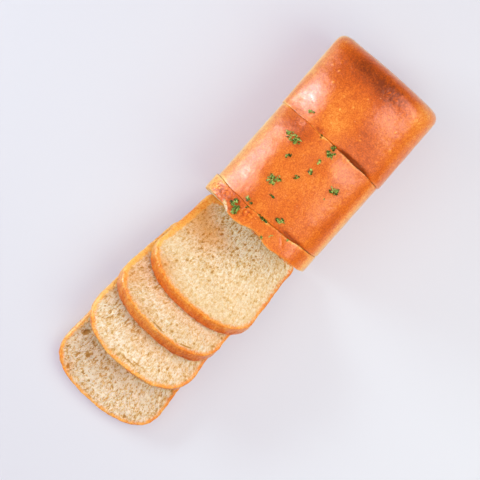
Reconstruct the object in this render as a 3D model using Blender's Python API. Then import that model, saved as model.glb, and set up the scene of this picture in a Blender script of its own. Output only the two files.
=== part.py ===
"""Garlic bread: the uncut end of a small tin loaf with four slices fanned out in front of it.

The loaf stands on its flat base. Its uncut heel faces +X, a second thick piece and one thin slice
stand close against it, and four slices have fallen toward -X like dominoes, each on the foot of
the next. Chopped parsley lies on the crust. +Z is up. The origin is the bottom centre of the
whole arrangement.
"""

import math
import random
from dataclasses import dataclass

import bmesh
import bpy
from mathutils import Euler, Matrix, Vector
from mathutils.bvhtree import BVHTree

MM = 0.001
GAP = 0.3 * MM

# The loaf's section, across Y and up Z.
LOAF_WIDTH = 101 * MM
LOAF_HEIGHT = 91 * MM
BASE_WIDTH = 93 * MM
BASE_CORNER = 6 * MM
CROWN_RISE = 29 * MM
CROWN_POWER = 2.35

# Steps along one half of the section, from the middle of the base to the middle of the crown.
BASE_STEPS = 3
CORNER_STEPS = 3
SIDE_STEPS = 3
CROWN_STEPS = 12

# A face's inner rings, as shares of its edge ring about a centre at this height.
FACE_RINGS = (0.7, 0.35)
FACE_CENTRE = 0.45 * LOAF_HEIGHT

# Edges of a face are rounder over the crown from this height, and swells of the crown fade in between these.
ROUNDER_FROM = 0.85 * (LOAF_HEIGHT - CROWN_RISE)
SWELL_FROM = 0.45 * LOAF_HEIGHT
SWELL_FULL = 0.95 * LOAF_HEIGHT

# Where the standing pieces meet, along X at the crown. Joints run a little askew and bow toward the fan.
HEEL_END = 176.3 * MM
HEEL_JOINT = 102.2 * MM
MIDDLE_JOINT = 27 * MM
STANDING_FRONT = 11.3 * MM
KNIFE_LEAN = 5 * MM

# The torn crust lip over the standing slice's cut face: its waves across Y, as shares of the half
# width, where they fade out on one side, and the heights they grow between.
LIP_WAVES = 10.5
LIP_PHASE = 0.31
LIP_END = -0.8
LIP_FROM = 0.72 * LOAF_HEIGHT
LIP_FULL = 0.92 * LOAF_HEIGHT

# The fanned slices: rings of a cut face as shares of its edge, steps of the rim, and the share of
# a slice's height that stays straight when its end bends.
SLICE_THICKNESS = 15 * MM
SLICE_RINGS = (0.25, 0.55, 0.82, 1)
RIM_RADIUS = 1.2 * MM
RIM_STEPS = 2
STRAIGHT_SHARE = 0.4
CONTACT_STEPS = 40
RESTING_GAP = 1.5 * MM

# One parsley leaflet: how far its rim reaches and its lobes swing about that, how much it curls, and
# how high its middle lies on the crust, all as shares of its size. A cluster has smaller leaflets.
LEAFLET_THICKNESS = 0.6 * MM
LEAFLET_LOBES = 3
LEAFLET_POINTS = 9
LEAFLET_REACH = 0.78
LEAFLET_SWING = 0.3
LEAFLET_CURL = 0.22
LEAFLET_RISE = 0.12
CLUSTER_LEAFLET = 0.5


@dataclass(frozen=True)
class Face:
    """One end of a standing piece: its place along X, skew and bow across Y, lean, edge radii."""

    place: float
    side: int
    skew: float = 0.0
    bow: float = 0.0
    lean: float = 0.0
    top_radius: float = 2.5 * MM
    side_radius: float = 1.8 * MM
    steps: int = 2
    lip_depth: float = 0.0

    def at(self, y: float, z: float) -> float:
        """X of the face at this height and this far across."""
        across = y / (LOAF_WIDTH / 2)
        x = self.place + self.skew * across - self.bow * (1 - across * across)
        x += self.lean * (1 - z / LOAF_HEIGHT)
        lip = smooth_step((z - LIP_FROM) / (LIP_FULL - LIP_FROM))
        lip *= smooth_step((across - LIP_END) / (1 + LIP_END))
        return x + self.lip_depth * lip * math.sin(LIP_WAVES * across + LIP_PHASE)

    def radius(self, z: float) -> float:
        """Edge radius at this height: the side radius below the shoulder, more over the crown."""
        share = smooth_step((z - ROUNDER_FROM) / (LOAF_HEIGHT - ROUNDER_FROM))
        return self.side_radius + (self.top_radius - self.side_radius) * share


@dataclass(frozen=True)
class Swell:
    """A round rise or, with a negative height, a round dip in the crown."""

    x: float
    y: float
    radius: float
    height: float

    def at(self, x: float, y: float) -> float:
        """Height that the swell adds at this place."""
        away = ((x - self.x) ** 2 + (y - self.y) ** 2) / self.radius**2
        return self.height * math.exp(-away)


@dataclass(frozen=True)
class Sprig:
    """A bit of chopped parsley: where it lies, how wide it spreads and how many leaflets it has."""

    x: float
    y: float
    spread: float
    leaflets: int


@dataclass(frozen=True)
class Chunk:
    """An upright length of the loaf between two faces, with its relief and its parsley.

    across holds the Y of its middle line at the front face and at the back face.
    """

    name: str
    front: Face
    back: Face
    width: float
    across: tuple[float, float]
    body_steps: int
    swells: tuple[Swell, ...]
    sprigs: tuple[Sprig, ...]
    seed: int


@dataclass(frozen=True)
class Slice:
    """A fanned slice: its size, where its foot stands, how it lies across Y, how square its crown is.

    yaw turns it about Z and bend turns its end down from its foot, both in degrees.
    """

    name: str
    foot: float
    across: float
    width: float
    height: float
    crown_power: float
    yaw: float = 0.0
    bend: float = 0.0


FRONT = -1
BACK = 1
HEEL_FACE = Face(HEEL_END, BACK, skew=0.9 * MM, top_radius=17 * MM, side_radius=5.5 * MM, steps=4)
HEEL_CUT = Face(HEEL_JOINT, FRONT, skew=2.0 * MM, bow=0.4 * MM)
MIDDLE_BACK = Face(HEEL_JOINT - GAP, BACK, skew=2.0 * MM, bow=0.4 * MM)
MIDDLE_CUT = Face(MIDDLE_JOINT, FRONT, bow=3 * MM, lean=KNIFE_LEAN)
STANDING_BACK = Face(MIDDLE_JOINT - GAP, BACK, bow=3 * MM, lean=KNIFE_LEAN)
STANDING_CUT = Face(
    STANDING_FRONT,
    FRONT,
    skew=1.1 * MM,
    lean=KNIFE_LEAN,
    side_radius=1.2 * MM,
    top_radius=1.6 * MM,
    lip_depth=1.6 * MM,
)

HEEL_SWELLS = (
    Swell(145 * MM, -29 * MM, 21 * MM, 2.6 * MM),
    Swell(124 * MM, 24 * MM, 24 * MM, 1.4 * MM),
    Swell(101 * MM, -24 * MM, 16 * MM, -2.4 * MM),
    Swell(172 * MM, 0, 34 * MM, -2.6 * MM),
)
MIDDLE_SWELLS = (
    Swell(60 * MM, 24 * MM, 34 * MM, 1.0 * MM),
    Swell(72 * MM, -30 * MM, 26 * MM, 0.8 * MM),
    Swell(101 * MM, -8 * MM, 18 * MM, -1.2 * MM),
)
STANDING_SWELLS = (Swell(18 * MM, 18 * MM, 12 * MM, -1.0 * MM),)

HEEL_SPRIGS = (Sprig(111 * MM, 22 * MM, 3.5 * MM, 1),)
MIDDLE_SPRIGS = (
    Sprig(98 * MM, 6 * MM, 3.5 * MM, 1),
    Sprig(94.5 * MM, -10 * MM, 9 * MM, 5),
    Sprig(86 * MM, 21 * MM, 11 * MM, 6),
    Sprig(84 * MM, -7 * MM, 4 * MM, 1),
    Sprig(75 * MM, -7 * MM, 4.5 * MM, 2),
    Sprig(73 * MM, 14 * MM, 5 * MM, 2),
    Sprig(75 * MM, -30 * MM, 9 * MM, 5),
    Sprig(65 * MM, -1 * MM, 5 * MM, 2),
    Sprig(52 * MM, 12 * MM, 10 * MM, 6),
    Sprig(42 * MM, 3 * MM, 5 * MM, 2),
    Sprig(32 * MM, -13 * MM, 7 * MM, 4),
)
STANDING_SPRIGS = (
    Sprig(17 * MM, 18.5 * MM, 9 * MM, 6),
    Sprig(20 * MM, -2 * MM, 4 * MM, 2),
    Sprig(19 * MM, -13 * MM, 4.5 * MM, 2),
    Sprig(19 * MM, -26 * MM, 4 * MM, 1),
)
CHUNKS = (
    Chunk(
        "loaf_heel",
        HEEL_CUT,
        HEEL_FACE,
        width=102.2 * MM,
        across=(-5.5 * MM, -5.7 * MM),
        body_steps=11,
        swells=HEEL_SWELLS,
        sprigs=HEEL_SPRIGS,
        seed=3,
    ),
    Chunk(
        "loaf_middle",
        MIDDLE_CUT,
        MIDDLE_BACK,
        width=100.2 * MM,
        across=(-4.1 * MM, -5.3 * MM),
        body_steps=12,
        swells=MIDDLE_SWELLS,
        sprigs=MIDDLE_SPRIGS,
        seed=5,
    ),
    Chunk(
        "standing_slice",
        STANDING_CUT,
        STANDING_BACK,
        width=100.2 * MM,
        across=(-3.8 * MM, -3.9 * MM),
        body_steps=3,
        swells=STANDING_SWELLS,
        sprigs=STANDING_SPRIGS,
        seed=8,
    ),
)

# Feet are distances toward -X, and the last slice lies flat.
SLICES = (
    Slice("fanned_slice_1", -6.0 * MM, -1.0 * MM, 100.5 * MM, 92 * MM, 2.25, yaw=1.8),
    Slice("fanned_slice_2", 28.5 * MM, 6.1 * MM, 100.4 * MM, 91 * MM, 2.35, yaw=3.0),
    Slice("fanned_slice_3", 58.5 * MM, 6.6 * MM, 101.2 * MM, 87 * MM, 2.35, yaw=-0.4, bend=-21),
    Slice("fanned_slice_4", 90.0 * MM, 6.9 * MM, 100.8 * MM, 89 * MM, 2.45),
)

CRUST = ("egg_washed_crust", (0.62, 0.22, 0.045, 1.0), 0.34)
CRUMB = ("soft_crumb", (0.80, 0.60, 0.34, 1.0), 0.9)


def smooth_step(share: float) -> float:
    """Eases a share from 0 to 1, and holds it there outside that range."""
    share = min(max(share, 0.0), 1.0)
    return share * share * (3 - 2 * share)


def material(name: str, colour: tuple[float, ...], roughness: float) -> bpy.types.Material:
    """A Principled material of one colour, made once."""
    found = bpy.data.materials.get(name)
    if found:
        return found
    made = bpy.data.materials.new(name)
    made.use_nodes = True
    shader = made.node_tree.nodes["Principled BSDF"]
    shader.inputs["Base Color"].default_value = colour
    shader.inputs["Roughness"].default_value = roughness
    shader.inputs["Metallic"].default_value = 0.0
    return made


def loaf_outline(width: float, height: float, power: float) -> list[Vector]:
    """Points (0, y, z) round the section: flat base, rounded corners, flared sides, crown."""
    half = width / 2
    shoulder = height - CROWN_RISE
    base_half = half * BASE_WIDTH / LOAF_WIDTH
    flat_half = base_half - BASE_CORNER
    side = [(flat_half * step / BASE_STEPS, 0.0) for step in range(BASE_STEPS + 1)]
    for step in range(1, CORNER_STEPS + 1):
        angle = math.pi / 2 * step / CORNER_STEPS
        turn = (math.sin(angle), 1 - math.cos(angle))
        side.append((flat_half + BASE_CORNER * turn[0], BASE_CORNER * turn[1]))
    for step in range(1, SIDE_STEPS + 1):
        share = step / SIDE_STEPS
        rise = BASE_CORNER + (shoulder - BASE_CORNER) * share
        side.append((base_half + (half - base_half) * share, rise))
    for step in range(1, CROWN_STEPS + 1):
        angle = math.pi / 2 * step / CROWN_STEPS
        across = max(math.cos(angle), 0.0) ** (2 / power)
        rise = math.sin(angle) ** (2 / power)
        side.append((half * across, shoulder + CROWN_RISE * rise))
    mirrored = [(-y, z) for y, z in reversed(side[1:-1])]
    return [Vector((0, y, z)) for y, z in side + mirrored]


def inward_normals(outline: list[Vector]) -> list[Vector]:
    """The direction into the section at each point of its outline."""
    count = len(outline)
    normals = []
    for i, _ in enumerate(outline):
        along = outline[(i + 1) % count] - outline[i - 1]
        normals.append(Vector((0, -along.z, along.y)).normalized())
    return normals


def face_rings(outline: list[Vector], face: Face) -> list[list[Vector]]:
    """Rings from where the body meets the rounded edge of a face to the face's middle."""
    normals = inward_normals(outline)
    rings = []
    for step in range(face.steps + 1):
        angle = math.pi / 2 * step / face.steps
        ring = []
        for point, normal in zip(outline, normals):
            radius = face.radius(point.z)
            moved = point + normal * radius * (1 - math.cos(angle))
            moved.x = face.at(moved.y, moved.z) - face.side * radius * (1 - math.sin(angle))
            ring.append(moved)
        rings.append(ring)
    centre = Vector((0, 0, FACE_CENTRE))
    for share in FACE_RINGS:
        ring = []
        for point in rings[face.steps]:
            moved = centre + (point - centre) * share
            moved.x = face.at(moved.y, moved.z)
            ring.append(moved)
        rings.append(ring)
    return rings


def loft(name: str, rings: list[list[Vector]], finish: tuple) -> bpy.types.Object:
    """Closes a row of rings into one solid, with a poked face at each end."""
    mesh = bmesh.new()
    loops = [[mesh.verts.new(point) for point in ring] for ring in rings]
    count = len(rings[0])
    for near, far in zip(loops, loops[1:]):
        for i in range(count):
            after = (i + 1) % count
            mesh.faces.new((near[i], near[after], far[after], far[i]))
    ends = [mesh.faces.new(loops[0]), mesh.faces.new(loops[-1])]
    bmesh.ops.poke(mesh, faces=ends)
    bmesh.ops.triangulate(mesh, faces=mesh.faces[:])
    bmesh.ops.recalc_face_normals(mesh, faces=mesh.faces[:])
    data = bpy.data.meshes.new(name)
    mesh.to_mesh(data)
    mesh.free()
    data.shade_smooth()
    data.set_sharp_from_angle(angle=math.radians(45))
    made = bpy.data.objects.new(name, data)
    made.data.materials.append(material(*finish))
    bpy.context.scene.collection.objects.link(made)
    return made


def standing_piece(chunk: Chunk) -> bpy.types.Object:
    """Builds one upright length of the loaf."""
    outline = loaf_outline(chunk.width, LOAF_HEIGHT, CROWN_POWER)
    front_rings = face_rings(outline, chunk.front)
    back_rings = face_rings(outline, chunk.back)
    rings = front_rings[::-1]
    for step in range(1, chunk.body_steps):
        share = step / chunk.body_steps
        rings.append([a.lerp(b, share) for a, b in zip(front_rings[0], back_rings[0])])
    rings += back_rings
    start, end = chunk.across
    for point in (point for ring in rings for point in ring):
        share = (point.x - chunk.front.place) / (chunk.back.place - chunk.front.place)
        point.y += start + (end - start) * share
        high = smooth_step((point.z - SWELL_FROM) / (SWELL_FULL - SWELL_FROM))
        point.z += high * sum(swell.at(point.x, point.y) for swell in chunk.swells)
    made = loft(chunk.name, rings, CRUST)
    strew(made, chunk.sprigs, chunk.seed)
    return made


def leaflet(size: float, turn: Matrix, place: Vector) -> bpy.types.Object:
    """A thin wavy leaf with toothed lobes, both faces split alike."""
    mesh = bmesh.new()
    sides = []
    for height in (LEAFLET_THICKNESS / 2, -LEAFLET_THICKNESS / 2):
        middle = mesh.verts.new((0, 0, height))
        rim = []
        for i in range(LEAFLET_POINTS):
            angle = math.tau * i / LEAFLET_POINTS
            reach = size / 2 * (LEAFLET_REACH + LEAFLET_SWING * math.cos(LEAFLET_LOBES * angle))
            lift = LEAFLET_CURL * reach * math.cos(2 * angle)
            rim.append(mesh.verts.new((reach * math.cos(angle), reach * math.sin(angle), height + lift)))
        sides.append((middle, rim))
    (top, top_rim), (bottom, bottom_rim) = sides
    for i in range(LEAFLET_POINTS):
        after = (i + 1) % LEAFLET_POINTS
        mesh.faces.new((top, top_rim[i], top_rim[after]))
        mesh.faces.new((bottom, bottom_rim[after], bottom_rim[i]))
        mesh.faces.new((top_rim[i], bottom_rim[i], bottom_rim[after]))
        mesh.faces.new((top_rim[i], bottom_rim[after], top_rim[after]))
    bmesh.ops.transform(mesh, matrix=Matrix.Translation(place) @ turn, verts=mesh.verts)
    data = bpy.data.meshes.new("leaflet")
    mesh.to_mesh(data)
    mesh.free()
    return bpy.data.objects.new("leaflet", data)


def strew(piece: bpy.types.Object, sprigs: tuple[Sprig, ...], seed: int) -> None:
    """Fuses parsley sprigs to a piece's crust, each leaflet half sunk where it lies."""
    draw = random.Random(seed)
    bpy.context.view_layer.update()
    tree = BVHTree.FromObject(piece, bpy.context.evaluated_depsgraph_get())
    herbs = bpy.data.collections.new("parsley_on_" + piece.name)
    above = 2 * LOAF_HEIGHT
    for sprig in sprigs:
        size = sprig.spread * (1 if sprig.leaflets == 1 else CLUSTER_LEAFLET)
        ring = (sprig.spread - size) / 2
        first = draw.uniform(0, math.tau)
        for i in range(sprig.leaflets):
            angle = first + math.tau * i / sprig.leaflets
            away = ring * draw.uniform(0.55, 1.0)
            spot = Vector((sprig.x + away * math.cos(angle), sprig.y + away * math.sin(angle), above))
            hit, normal, _, _ = tree.ray_cast(spot, Vector((0, 0, -1)))
            lie = normal.to_track_quat("Z", "Y").to_matrix().to_4x4()
            tilt = Euler((draw.uniform(0.25, 0.6), draw.uniform(-0.3, 0.3), draw.uniform(0, math.tau)), "XYZ")
            place = hit + normal * LEAFLET_RISE * size
            herbs.objects.link(leaflet(size, lie @ tilt.to_matrix().to_4x4(), place))
    join = piece.modifiers.new("parsley", "BOOLEAN")
    join.operation = "UNION"
    join.operand_type = "COLLECTION"
    join.collection = herbs
    join.solver = "EXACT"
    bpy.context.view_layer.update()
    fused = piece.evaluated_get(bpy.context.evaluated_depsgraph_get())
    data = bpy.data.meshes.new_from_object(fused)
    piece.modifiers.remove(join)
    bare = piece.data
    piece.data = data
    bpy.data.meshes.remove(bare)
    data.name = piece.name
    for herb in list(herbs.objects):
        bpy.data.meshes.remove(herb.data)
    bpy.data.collections.remove(herbs)


def set_down(piece: Slice, lean: float, along: float, depth: float) -> tuple[float, float]:
    """Where a spot of a slice comes to lie: its distance toward -X and its height.

    along runs from the foot to the crown and depth from the lower face to the upper one. The
    slice is straight at first, and beyond that it bends evenly to its end.
    """
    straight = STRAIGHT_SHARE * piece.height
    free = max(along - straight, 0.0)
    here = lean + math.radians(piece.bend) * free / (piece.height - straight)
    middle = (lean + here) / 2
    away = (along - free) * math.cos(lean) + free * math.cos(middle) - depth * math.sin(here)
    up = (along - free) * math.sin(lean) + free * math.sin(middle) + depth * math.cos(here)
    return piece.foot + away, up


def fan_leans() -> list[float]:
    """Lean of each fanned slice, in radians: each rests on the next one, and the last is flat."""
    leans = [0.0]
    for leaning, support in zip(reversed(SLICES[:-1]), reversed(SLICES[1:])):
        steepest = 0.0
        for step in range(CONTACT_STEPS + 1):
            along = support.height * step / CONTACT_STEPS
            away, up = set_down(support, leans[0], along, SLICE_THICKNESS)
            reach = math.hypot(away - leaning.foot, up)
            if reach < leaning.height:
                clear = math.asin(RESTING_GAP / reach)
                steepest = max(steepest, math.atan2(up, away - leaning.foot) + clear)
        leans.insert(0, steepest)
    return leans


def slice_rings(piece: Slice) -> list[list[Vector]]:
    """Rings over a slice lying flat: lower face, rim, upper face. X is depth, Z runs to the crown."""
    outline = loaf_outline(piece.width, piece.height, piece.crown_power)
    normals = inward_normals(outline)
    centre = Vector((0, 0, piece.height / 2))
    edge = [point + normal * RIM_RADIUS for point, normal in zip(outline, normals)]
    lower = [[centre + (point - centre) * share for point in edge] for share in SLICE_RINGS]
    rim = []
    for step in range(RIM_STEPS + 1):
        depth = RIM_RADIUS + (SLICE_THICKNESS - 2 * RIM_RADIUS) * step / RIM_STEPS
        rim.append([Vector((depth, point.y, point.z)) for point in outline])
    upper = [[Vector((SLICE_THICKNESS, point.y, point.z)) for point in ring] for ring in lower[::-1]]
    return lower + rim + upper


def fanned_slice(piece: Slice, lean: float) -> bpy.types.Object:
    """A slice set down in the fan on the slice beyond it."""
    rings = slice_rings(piece)
    turn = Matrix.Rotation(-math.radians(piece.yaw), 3, "Z")
    middle = Vector((-piece.foot - piece.height / 2, piece.across, 0))
    for point in (point for ring in rings for point in ring):
        away, up = set_down(piece, lean, point.z, point.x)
        point.xyz = middle + turn @ Vector((-away - middle.x, point.y, up))
    lowest = min(point.z for ring in rings for point in ring)
    for point in (point for ring in rings for point in ring):
        point.z -= lowest
    return loft(piece.name, rings, CRUMB)


def stand_on_origin(pieces: list[bpy.types.Object]) -> None:
    """Hangs all pieces on one empty, placed so that the origin is their bottom centre."""
    corners = [Vector(corner) for piece in pieces for corner in piece.bound_box]
    lowest = Vector(tuple(min(corner[i] for corner in corners) for i in range(3)))
    highest = Vector(tuple(max(corner[i] for corner in corners) for i in range(3)))
    bread = bpy.data.objects.new("garlic_bread", None)
    bpy.context.scene.collection.objects.link(bread)
    bread.location = (-(lowest.x + highest.x) / 2, -(lowest.y + highest.y) / 2, -lowest.z)
    for piece in pieces:
        piece.parent = bread


def main() -> None:
    """Clears the scene and builds the bread."""
    for old in list(bpy.data.objects):
        bpy.data.objects.remove(old, do_unlink=True)
    standing = [standing_piece(chunk) for chunk in CHUNKS]
    fan = [fanned_slice(piece, lean) for piece, lean in zip(SLICES, fan_leans())]
    stand_on_origin(standing + fan)


main()
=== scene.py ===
"""Garlic bread, dressed: a sliced tin loaf with a glossy crust, open crumb and chopped parsley.

Each piece starts as a grid that is extruded into a block, is shaped into its part of the loaf,
smoothed, given its crumb holes or crust wrinkles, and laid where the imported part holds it.
"""

import logging
import math
import random
from collections.abc import Callable
from dataclasses import dataclass
from enum import Enum

import bpy
import numpy as np
from mathutils import Euler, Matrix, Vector, noise
from mathutils.bvhtree import BVHTree
from mathutils.kdtree import KDTree


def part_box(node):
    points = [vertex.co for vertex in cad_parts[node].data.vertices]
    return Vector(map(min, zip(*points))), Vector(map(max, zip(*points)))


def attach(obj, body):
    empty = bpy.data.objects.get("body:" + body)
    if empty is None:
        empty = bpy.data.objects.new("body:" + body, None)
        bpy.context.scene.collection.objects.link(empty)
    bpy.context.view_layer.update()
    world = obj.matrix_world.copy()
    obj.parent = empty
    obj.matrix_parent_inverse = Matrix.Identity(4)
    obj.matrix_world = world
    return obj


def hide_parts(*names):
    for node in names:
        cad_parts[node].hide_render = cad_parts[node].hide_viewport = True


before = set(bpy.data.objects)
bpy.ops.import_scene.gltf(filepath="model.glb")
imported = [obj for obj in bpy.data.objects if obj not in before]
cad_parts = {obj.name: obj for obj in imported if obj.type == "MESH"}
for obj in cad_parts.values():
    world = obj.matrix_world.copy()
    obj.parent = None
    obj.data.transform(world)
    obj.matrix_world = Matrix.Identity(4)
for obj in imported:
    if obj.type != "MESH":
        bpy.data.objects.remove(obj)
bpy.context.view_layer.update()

MM = 0.001
LOG = logging.getLogger("garlic_bread")
Value = float | bpy.types.NodeSocket
Colour = tuple[float, float, float, float]
Place = float | np.ndarray
Surface = Callable[[np.ndarray, np.ndarray], np.ndarray]

# The loaf's section and the knife cuts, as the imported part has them.
LOAF_WIDTH = 101 * MM
LOAF_HEIGHT = 91 * MM
BASE_WIDTH = 93 * MM
BASE_CORNER = 6 * MM
CROWN_RISE = 29 * MM
GAP = 0.3 * MM
KNIFE_LEAN = 5 * MM
HEEL_END = 176.3 * MM
HEEL_JOINT = 102.2 * MM
MIDDLE_JOINT = 27 * MM
STANDING_FRONT = 11.3 * MM

# The fan: each slice stays straight up to this share of its height and rests this far off the next.
SLICE_THICKNESS = 15 * MM
STRAIGHT_SHARE = 0.4
RESTING_GAP = 1.5 * MM
CONTACT_STEPS = 40

# Heights from which a torn lip hangs out, edges grow rounder and the crown swells, each with its span.
LIP_FROM, LIP_SPAN = 0.66 * LOAF_HEIGHT, 0.2 * LOAF_HEIGHT
ROUNDER_FROM = 0.85 * (LOAF_HEIGHT - CROWN_RISE)
SWELL_FROM, SWELL_SPAN = 0.45 * LOAF_HEIGHT, 0.5 * LOAF_HEIGHT

# On the grid of a block, which runs from -1 to 1, points past this lie on its edge.
GRID_EDGE = 0.999

# Steps across and up of the outline that distances are measured from.
FINE_STEPS = (400, 320)

# The two waves that the knife leaves across a cut.
SHORT_WAVE, LONG_WAVE = 3.1 * MM, 5.3 * MM


class Slot(Enum):
    """The record's material slots."""

    CRUST = "crust"
    CRUMB = "crumb"
    PARSLEY = "parsley"


class End(Enum):
    """Which end of a piece a face is on, seen along X or through a slice's depth."""

    FRONT = -1
    BACK = 1


def smooth_step(value: np.ndarray, start: float = 0.0, span: float = 1.0) -> np.ndarray:
    """Eases from 0 to 1 as a value runs over a span from start, and stays level before and after it."""
    share = np.clip((value - start) / span, 0.0, 1.0)
    return share * share * (3 - 2 * share)


def ripple(points: np.ndarray, size: float, octaves: int = 3, shift: float = 0.0) -> np.ndarray:
    """Fractal noise at each point, about -1 to 1.

    Args:
        points: one row for each point, in metres.
        size: the width of the largest ripples, in metres.
        octaves: how many finer layers are added.
        shift: moves the pattern, so that two uses differ.

    Returns:
        One value for each point.
    """
    scaled = points / size + shift
    return np.array([noise.fractal(point, 1.0, 2.0, octaves) for point in scaled.tolist()])


def turned(x: Place, y: Place, degrees: float) -> tuple[Place, Place]:
    """Places as seen along axes that are turned by an angle."""
    c, s = math.cos(math.radians(degrees)), math.sin(math.radians(degrees))
    return x * c + y * s, y * c - x * s


@dataclass(frozen=True)
class Ripples:
    """One layer of fine relief: the width and the height of its ripples in mm, and its finer layers."""

    width: float
    height: float
    octaves: int = 3

    def at(self, points: np.ndarray, shift: float) -> np.ndarray:
        """Height in metres at each point, with the pattern moved by shift."""
        return ripple(points, self.width * MM, self.octaves, shift) * self.height * MM


def finder(rows: np.ndarray) -> KDTree:
    """Sorts places so that the nearest ones are quick to find.

    Args:
        rows: the places, as rows of (y, z).

    Returns:
        A tree that knows each place by its row number.
    """
    tree = KDTree(len(rows))
    for i, (y, z) in enumerate(rows.tolist()):
        tree.insert((y, z, 0), i)
    tree.balance()
    return tree


def many(kind: type, *rows: tuple[float, ...], lengths: int = 4) -> tuple:
    """One object for each row of numbers.

    Args:
        kind: the objects' class.
        rows: what each one's fields hold, in order.
        lengths: how many of a row's numbers, from its first, are in millimetres.

    Returns:
        The objects.
    """
    return tuple(kind(*(value * MM for value in row[:lengths]), *row[lengths:]) for row in rows)


def store(mesh: bpy.types.Mesh, name: str, values: np.ndarray) -> None:
    """Keeps one number or one vector for each vertex of a mesh, for its material to read.

    Args:
        mesh: the mesh.
        name: the attribute's name.
        values: one number or one row of three for each vertex.
    """
    kind, key = ("FLOAT", "value") if values.ndim == 1 else ("FLOAT_VECTOR", "vector")
    made = mesh.attributes.new(name, kind, "POINT")
    made.data.foreach_set(key, values.astype(np.float32).ravel())


def read(items: bpy.types.bpy_prop_collection, key: str, width: int = 3) -> np.ndarray:
    """What each item of a mesh's list holds.

    Args:
        items: the list, such as its vertices.
        key: the name of what is wanted.
        width: how many numbers each item holds.

    Returns:
        One row of numbers for each item.
    """
    values = np.empty(len(items) * width, np.float32)
    items.foreach_get(key, values)
    return values.reshape(-1, width).astype(float)


def move_to(mesh: bpy.types.Mesh, rows: np.ndarray) -> None:
    """Puts each vertex of a mesh at its row's place."""
    mesh.vertices.foreach_set("co", rows.astype(np.float32).ravel())
    mesh.update()


def block(name: str, across: int, up: int, layers: int) -> bpy.types.Object:
    """A grid extruded into a block, in units of its own steps, to be shaped afterwards.

    Args:
        name: the new object's name.
        across: faces across the grid.
        up: faces up the grid.
        layers: how many times the grid is extruded.

    Returns:
        The block, from -1 to 1 across and up, and from 0 to layers in depth.
    """
    bpy.ops.object.select_all(action="DESELECT")
    bpy.ops.mesh.primitive_grid_add(x_subdivisions=across, y_subdivisions=up, size=2)
    made = bpy.context.object
    made.name = made.data.name = name
    bpy.ops.object.mode_set(mode="EDIT")
    bpy.ops.mesh.select_all(action="SELECT")
    for _ in range(layers):
        bpy.ops.mesh.extrude_region_move(TRANSFORM_OT_translate={"value": (0, 0, 1)})
    bpy.ops.object.mode_set(mode="OBJECT")
    return made


def modify(piece: bpy.types.Object, kind: str, **settings: float) -> None:
    """Gives a piece a modifier, applies it and shades the piece smooth.

    Args:
        piece: the piece, which has no other modifier.
        kind: the modifier's type name.
        settings: the modifier's own properties.
    """
    bpy.ops.object.select_all(action="DESELECT")
    piece.select_set(True)
    bpy.context.view_layer.objects.active = piece
    modifier = piece.modifiers.new(kind.lower(), kind)
    for name, value in settings.items():
        setattr(modifier, name, value)
    bpy.ops.object.modifier_apply(modifier=modifier.name)
    bpy.ops.object.shade_smooth()


@dataclass(frozen=True)
class Section:
    """The loaf's outline: Y across and Z up, from its flat base to its crown."""

    width: float = LOAF_WIDTH
    height: float = LOAF_HEIGHT
    crown_power: float = 2.35
    corner: float = BASE_CORNER
    corner_points: int = 17
    crown_points: int = 128

    def half(self) -> tuple[np.ndarray, int, int]:
        """The right half of the outline as a fine line.

        Returns:
            Rows of (y, z) from the middle of the base to the middle of the crown, and the row
            numbers of the base corner and of the crown's shoulder.
        """
        half, shoulder = self.width / 2, self.height - CROWN_RISE
        base_half = half * BASE_WIDTH / LOAF_WIDTH
        turn = np.linspace(0, math.pi / 2, self.corner_points)
        arch = np.linspace(0, math.pi / 2, self.crown_points + 1)[1:]
        crown_y = half * np.maximum(np.cos(arch), 0) ** (2 / self.crown_power)
        crown_z = shoulder + CROWN_RISE * np.sin(arch) ** (2 / self.crown_power)
        rows_y = np.concatenate([[0], base_half - self.corner * (1 - np.sin(turn)), [half], crown_y])
        rows_z = np.concatenate([[0], self.corner * (1 - np.cos(turn)), [shoulder], crown_z])
        crown_row = self.corner_points + 1 + self.crown_points // 2
        return np.stack([rows_y, rows_z], 1), 1 + self.corner_points // 2, crown_row

    def ring(self, across: int, up: int) -> np.ndarray:
        """Points evenly round the outline, counter-clockwise from the left base corner.

        Args:
            across: steps along the base, and as many along the crown.
            up: steps along each side.

        Returns:
            Rows of (y, z), 2 * (across + up) of them.
        """
        right, corner, shoulder = self.half()
        left = right * (-1, 1)
        sides = (
            (np.concatenate([left[corner::-1], right[1 : corner + 1]]), across),
            (right[corner : shoulder + 1], up),
            (np.concatenate([right[shoulder:], left[-2 : shoulder - 1 : -1]]), across),
            (left[shoulder : corner - 1 : -1], up),
        )
        rows = []
        for line, steps in sides:
            lengths = np.concatenate([[0], np.cumsum(np.linalg.norm(np.diff(line, axis=0), axis=1))])
            wanted = np.linspace(0, lengths[-1], steps + 1)[:-1]
            rows.append(np.stack([np.interp(wanted, lengths, line[:, i]) for i in (0, 1)], 1))
        return np.concatenate(rows)

    def inward(self, ring: np.ndarray) -> np.ndarray:
        """Finds the way into the section.

        Args:
            ring: rows of (y, z) round the outline, counter-clockwise.

        Returns:
            One unit vector for each of them.
        """
        along = np.roll(ring, -1, axis=0) - np.roll(ring, 1, axis=0)
        into = np.stack([-along[:, 1], along[:, 0]], 1)
        return into / np.linalg.norm(into, axis=1, keepdims=True)

    def edge_distance(self, rows: np.ndarray) -> np.ndarray:
        """How far each (y, z) row lies from the outline."""
        tree = finder(self.ring(*FINE_STEPS))
        return np.array([tree.find((y, z, 0))[2] for y, z in rows.tolist()])


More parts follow.
